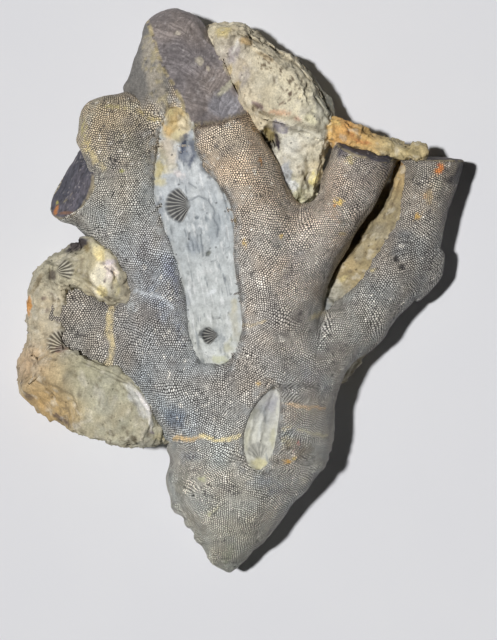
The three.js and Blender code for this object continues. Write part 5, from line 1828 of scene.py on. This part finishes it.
def colonyMaterial():
    # pores are where three cosines, 60 degrees apart over the map in mm, are all high; a pore is lighter than
    # the tint and the mesh between pores darker, as painted shade in the hollows there, except where the skin
    # is bare, filled or worn
    finish = colonyFinish
    bench = Bench("colony_stone")
    tint = bench.mark("tint", "Color")
    bare = bench.mark("bare")
    face = bench.mark("face")
    skin = bench.put("ShaderNodeUVMap", {"uv_map": "skin"}, {})
    place = bench.put("ShaderNodeTexCoord", {}, {}, "Object")
    bend = bench.drift(skin, 0.2, finish["rowBend"])
    jitter = bench.drift(skin, 1.9, finish["rowJitter"])
    moved = bench.summed(skin, bench.summed(bend, jitter))
    comb = 0.0
    for turn in finish["rowTurns"]:
        way = (math.cos(math.radians(turn)), math.sin(math.radians(turn)), 0.0)
        run = bench.put("ShaderNodeVectorMath", {"operation": "DOT_PRODUCT"}, {0: moved, 1: way}, "Value")
        comb = run.maths("COSINE", run * (2 * math.pi / finish["rowSpacing"]), 0.0) + comb
    pore = bench.fade(comb, finish["poreRim"], finish["poreHeart"])
    patch = bench.noise(place, *finish["patches"])
    filled = bench.fade(patch, 0.54, 0.7)
    scuffs = bench.noise(place, *finish["scuffs"])
    worn = bench.fade(scuffs, 0.58, 0.72)
    # painted shade: small pits where the scuffs noise is low, darkened in colour only and not on broken faces
    gap = bench.fade(scuffs, 0.37, 0.29)
    porous = (1 - bare) * (1 - filled * 0.7) * (1 - worn * 0.6)
    deep = pore * porous
    # painted shade: the mesh between the pores is made far darker than the tint, for the shade in the hollows
    # there
    shade = finish["meshPaintedShade"] - pore * (finish["meshPaintedShade"] - finish["poreShade"])
    level = porous * (shade - 1) + 1
    grain = bench.noise(place, *finish["grain"])
    speckle = bench.noise(place, *finish["speckle"])
    level = level * (0.8 + grain * 0.4) * (0.2 + speckle * 1.6) * (1 - gap * (1 - face) * 0.5)
    # fine curved streaks on the broken faces: a noise drawn out along lines that bend away from the middle
    turned = bench.put("ShaderNodeMapping", {}, {"Vector": place,
                                                 "Rotation": (0.0, 0.0, math.radians(finish["streakTurn"]))})
    along = bench.put("ShaderNodeSeparateXYZ", {}, {0: turned}, "Y")
    across = bench.put("ShaderNodeSeparateXYZ", {}, {0: turned}, "X")
    fromMiddle = across.maths("ABSOLUTE", across - finish["streakMiddle"] * metre, 0)
    wander = bench.noise(place, 260.0, 2.0)
    curve = along - (fromMiddle * 1000) ** 0.7 * 0.0015 + wander * 0.004
    close, long = finish["streakScale"]
    streaks = bench.put("ShaderNodeCombineXYZ", {}, {"X": curve * close, "Y": fromMiddle * long, "Z": 0.0})
    streak = bench.noise(streaks, 1.0, 3.0, 0.6)
    streak = bench.fade(streak, 0.4, 0.66) * bench.fade(patch, 0.36, 0.56)
    spark = bench.fade(grain, 0.64, 0.72) * filled
    level = level * (1 + face * (streak * 0.6 - 0.12 + spark * 0.8))
    colour = bench.scaled(tint, level)
    roughness = 0.78 - pore * 0.1 - face * 0.12
    height = deep * 1.0 + grain * 0.5
    bump = bench.put("ShaderNodeBump", {}, {"Strength": 0.8, "Distance": finish["bumpDepth"],
                                            "Height": height})
    fine = bench.put("ShaderNodeBump", {}, {"Strength": 0.5, "Distance": finish["grainDepth"],
                                            "Height": speckle + face * streak * 0.5, "Normal": bump})
    return bench.finish(colour, roughness, fine, finish["gloss"])


rockFinish = {
    "bumpDepth": 0.00012,
    # noises: scale, detail, roughness
    "coarse": (900.0, 4.0, 0.6),
    "grain": (4200.0, 3.0, 0.65),
    "uneven": (1100.0, 2.0, 0.5),
    "pitScale": 900.0,
    # painted shade in the ribs' furrows
    "furrowShadeTone": [52, 48, 46],
    # painted highlight on the ribs' crests
    "crestHighlightTone": [200, 196, 184],
    "gloss": 0.3,
}


def rockMaterial(name, contrast, polish):
    # the mesh's tint times two noises, darkened in small pits as painted shade, with the ribs of the shells
    # drawn over it as painted shade in the furrows and a painted highlight on the crests
    finish = rockFinish
    bench = Bench(name)
    tint = bench.mark("tint", "Color")
    place = bench.put("ShaderNodeTexCoord", {}, {}, "Object")
    coarse = bench.noise(place, *finish["coarse"])
    grain = bench.noise(place, *finish["grain"])
    pits = bench.put("ShaderNodeTexVoronoi", {"feature": "F1"},
                     {"Vector": place, "Scale": finish["pitScale"], "Randomness": 1.0})
    # painted shade: the small pits are darkened in colour as well as sunk in the bump
    pit = bench.fade(pits, 0.2, 0.08) * bench.fade(coarse, 0.45, 0.6)
    level = (1 + (coarse - 0.5) * contrast) * (1 + (grain - 0.5) * contrast)
    level = level * (1 - pit * 0.6)
    # ribs of the shells: a cosine of the phase that the piece carries, a little uneven; the furrows are
    # darkened as painted shade and the crests lightened as a painted highlight
    uneven = bench.noise(place, *finish["uneven"])
    phase = bench.mark("phase") + (uneven - 0.5) * 2.2
    rib = phase.maths("COSINE", phase, 0.0)
    shell = bench.mark("shell")
    furrow = bench.fade(rib, 0.5, -0.5) * shell
    crest = bench.fade(rib, 0.5, 0.95) * shell
    colour = bench.scaled(tint, level)
    colour = bench.blend(furrow * 0.8, colour, (*linear(finish["furrowShadeTone"]), 1))
    colour = bench.blend(crest * 0.6, colour, (*linear(finish["crestHighlightTone"]), 1))
    height = coarse * 0.8 + grain * 0.4 - pit * 0.8 - furrow * 1.5
    bump = bench.put("ShaderNodeBump", {}, {"Strength": 0.7, "Distance": finish["bumpDepth"],
                                            "Height": height})
    return bench.finish(colour, 0.9 - polish * coarse, bump, finish["gloss"])


# the floor is in metres
paper = {"size": 3.0, "fibres": (60.0, 3.0), "tones": ([222, 223, 228], [226, 227, 230])}


def makeFloor():
    # one square of pale paper
    size = paper["size"]
    mesh = bpy.data.meshes.new("floor")
    corners = [(-size, -size, 0), (size, -size, 0), (size, size, 0), (-size, size, 0)]
    mesh.from_pydata(corners, [], [(0, 1, 2, 3)])
    floor = bpy.data.objects.new("floor", mesh)
    bpy.context.scene.collection.objects.link(floor)
    bench = Bench("floor_paper")
    place = bench.put("ShaderNodeTexCoord", {}, {}, "Object")
    fibre = bench.noise(place, *paper["fibres"])
    colour = bench.blend(fibre, *((*linear(tone), 1) for tone in paper["tones"]))
    bump = bench.put("ShaderNodeBump", {}, {"Strength": 0.02, "Height": fibre})
    mesh.materials.append(bench.finish(colour, 0.9, bump, 0.2))


# softness is in degrees, and from is the direction that the light comes from
light = {
    "key": {"strength": 2.98, "softness": 3.0, "from": [-0.27, 0.035, 1.0], "colour": (1.0, 0.99, 0.98)},
    "front": {"strength": 0.28, "softness": 4.0, "from": [-0.6, -1.0, 0.05], "colour": (1.0, 1.0, 1.0)},
    "back": {"strength": 0.2, "softness": 4.0, "from": [-0.5, 1.0, 0.05], "colour": (1.0, 1.0, 1.0)},
    "side": {"strength": 0.08, "softness": 4.0, "from": [1.0, 0.0, 0.05], "colour": (0.96, 0.98, 1.0)},
    "world": {"strength": 0.014, "colour": (0.86, 0.89, 0.95)},
}


def makeLight():
    # four suns and a faint even sky
    for name in ("key", "front", "back", "side"):
        facts = light[name]
        lamp = bpy.data.lights.new(name, "SUN")
        lamp.energy = facts["strength"]
        lamp.angle = math.radians(facts["softness"])
        lamp.color = facts["colour"]
        holder = bpy.data.objects.new(name, lamp)
        holder.rotation_mode = "QUATERNION"
        holder.rotation_quaternion = Vector(facts["from"]).to_track_quat("Z", "Y")
        bpy.context.scene.collection.objects.link(holder)
    world = bpy.data.worlds.new("studio")
    world.use_nodes = True
    background = world.node_tree.nodes["Background"]
    background.inputs["Color"].default_value = (*light["world"]["colour"], 1)
    background.inputs["Strength"].default_value = light["world"]["strength"]
    bpy.context.scene.world = world


view = {"x": 0.74, "y": -3.92, "height": 708.0, "lens": 291.0}


def makeCamera():
    # straight above the middle of the ground, looking down
    camera = bpy.data.cameras.new("camera")
    camera.lens = view["lens"]
    camera.sensor_width = 36.0
    camera.clip_start, camera.clip_end = 0.01, 20.0
    holder = bpy.data.objects.new("camera", camera)
    holder.location = (view["x"] * metre, view["y"] * metre, view["height"] * metre)
    bpy.context.scene.collection.objects.link(holder)
    bpy.context.scene.camera = holder
    bpy.context.scene.view_settings.view_transform = "Standard"


makeCamera()
makeFloor()
makeLight()
print("stage ready")

colonyStone = colonyMaterial()
rockStone = rockMaterial("matrix_stone", 1.1, 0.1)
infillStone = rockMaterial("infill_stone", 0.6, 0.25)
print("materials ready")
for node, names in colonyPieces.items():
    makePiece(node + "_skin", [colonySkin(name) for name in names], colonyStone, node)
for node, names in rockPieces.items():
    makePiece(node + "_skin", [rockSkin(name) for name in names], rockStone, node)
for node, name in infillPieces.items():
    makePiece(node + "_skin", [infillSkin(name)], infillStone, node)
print("pieces ready")
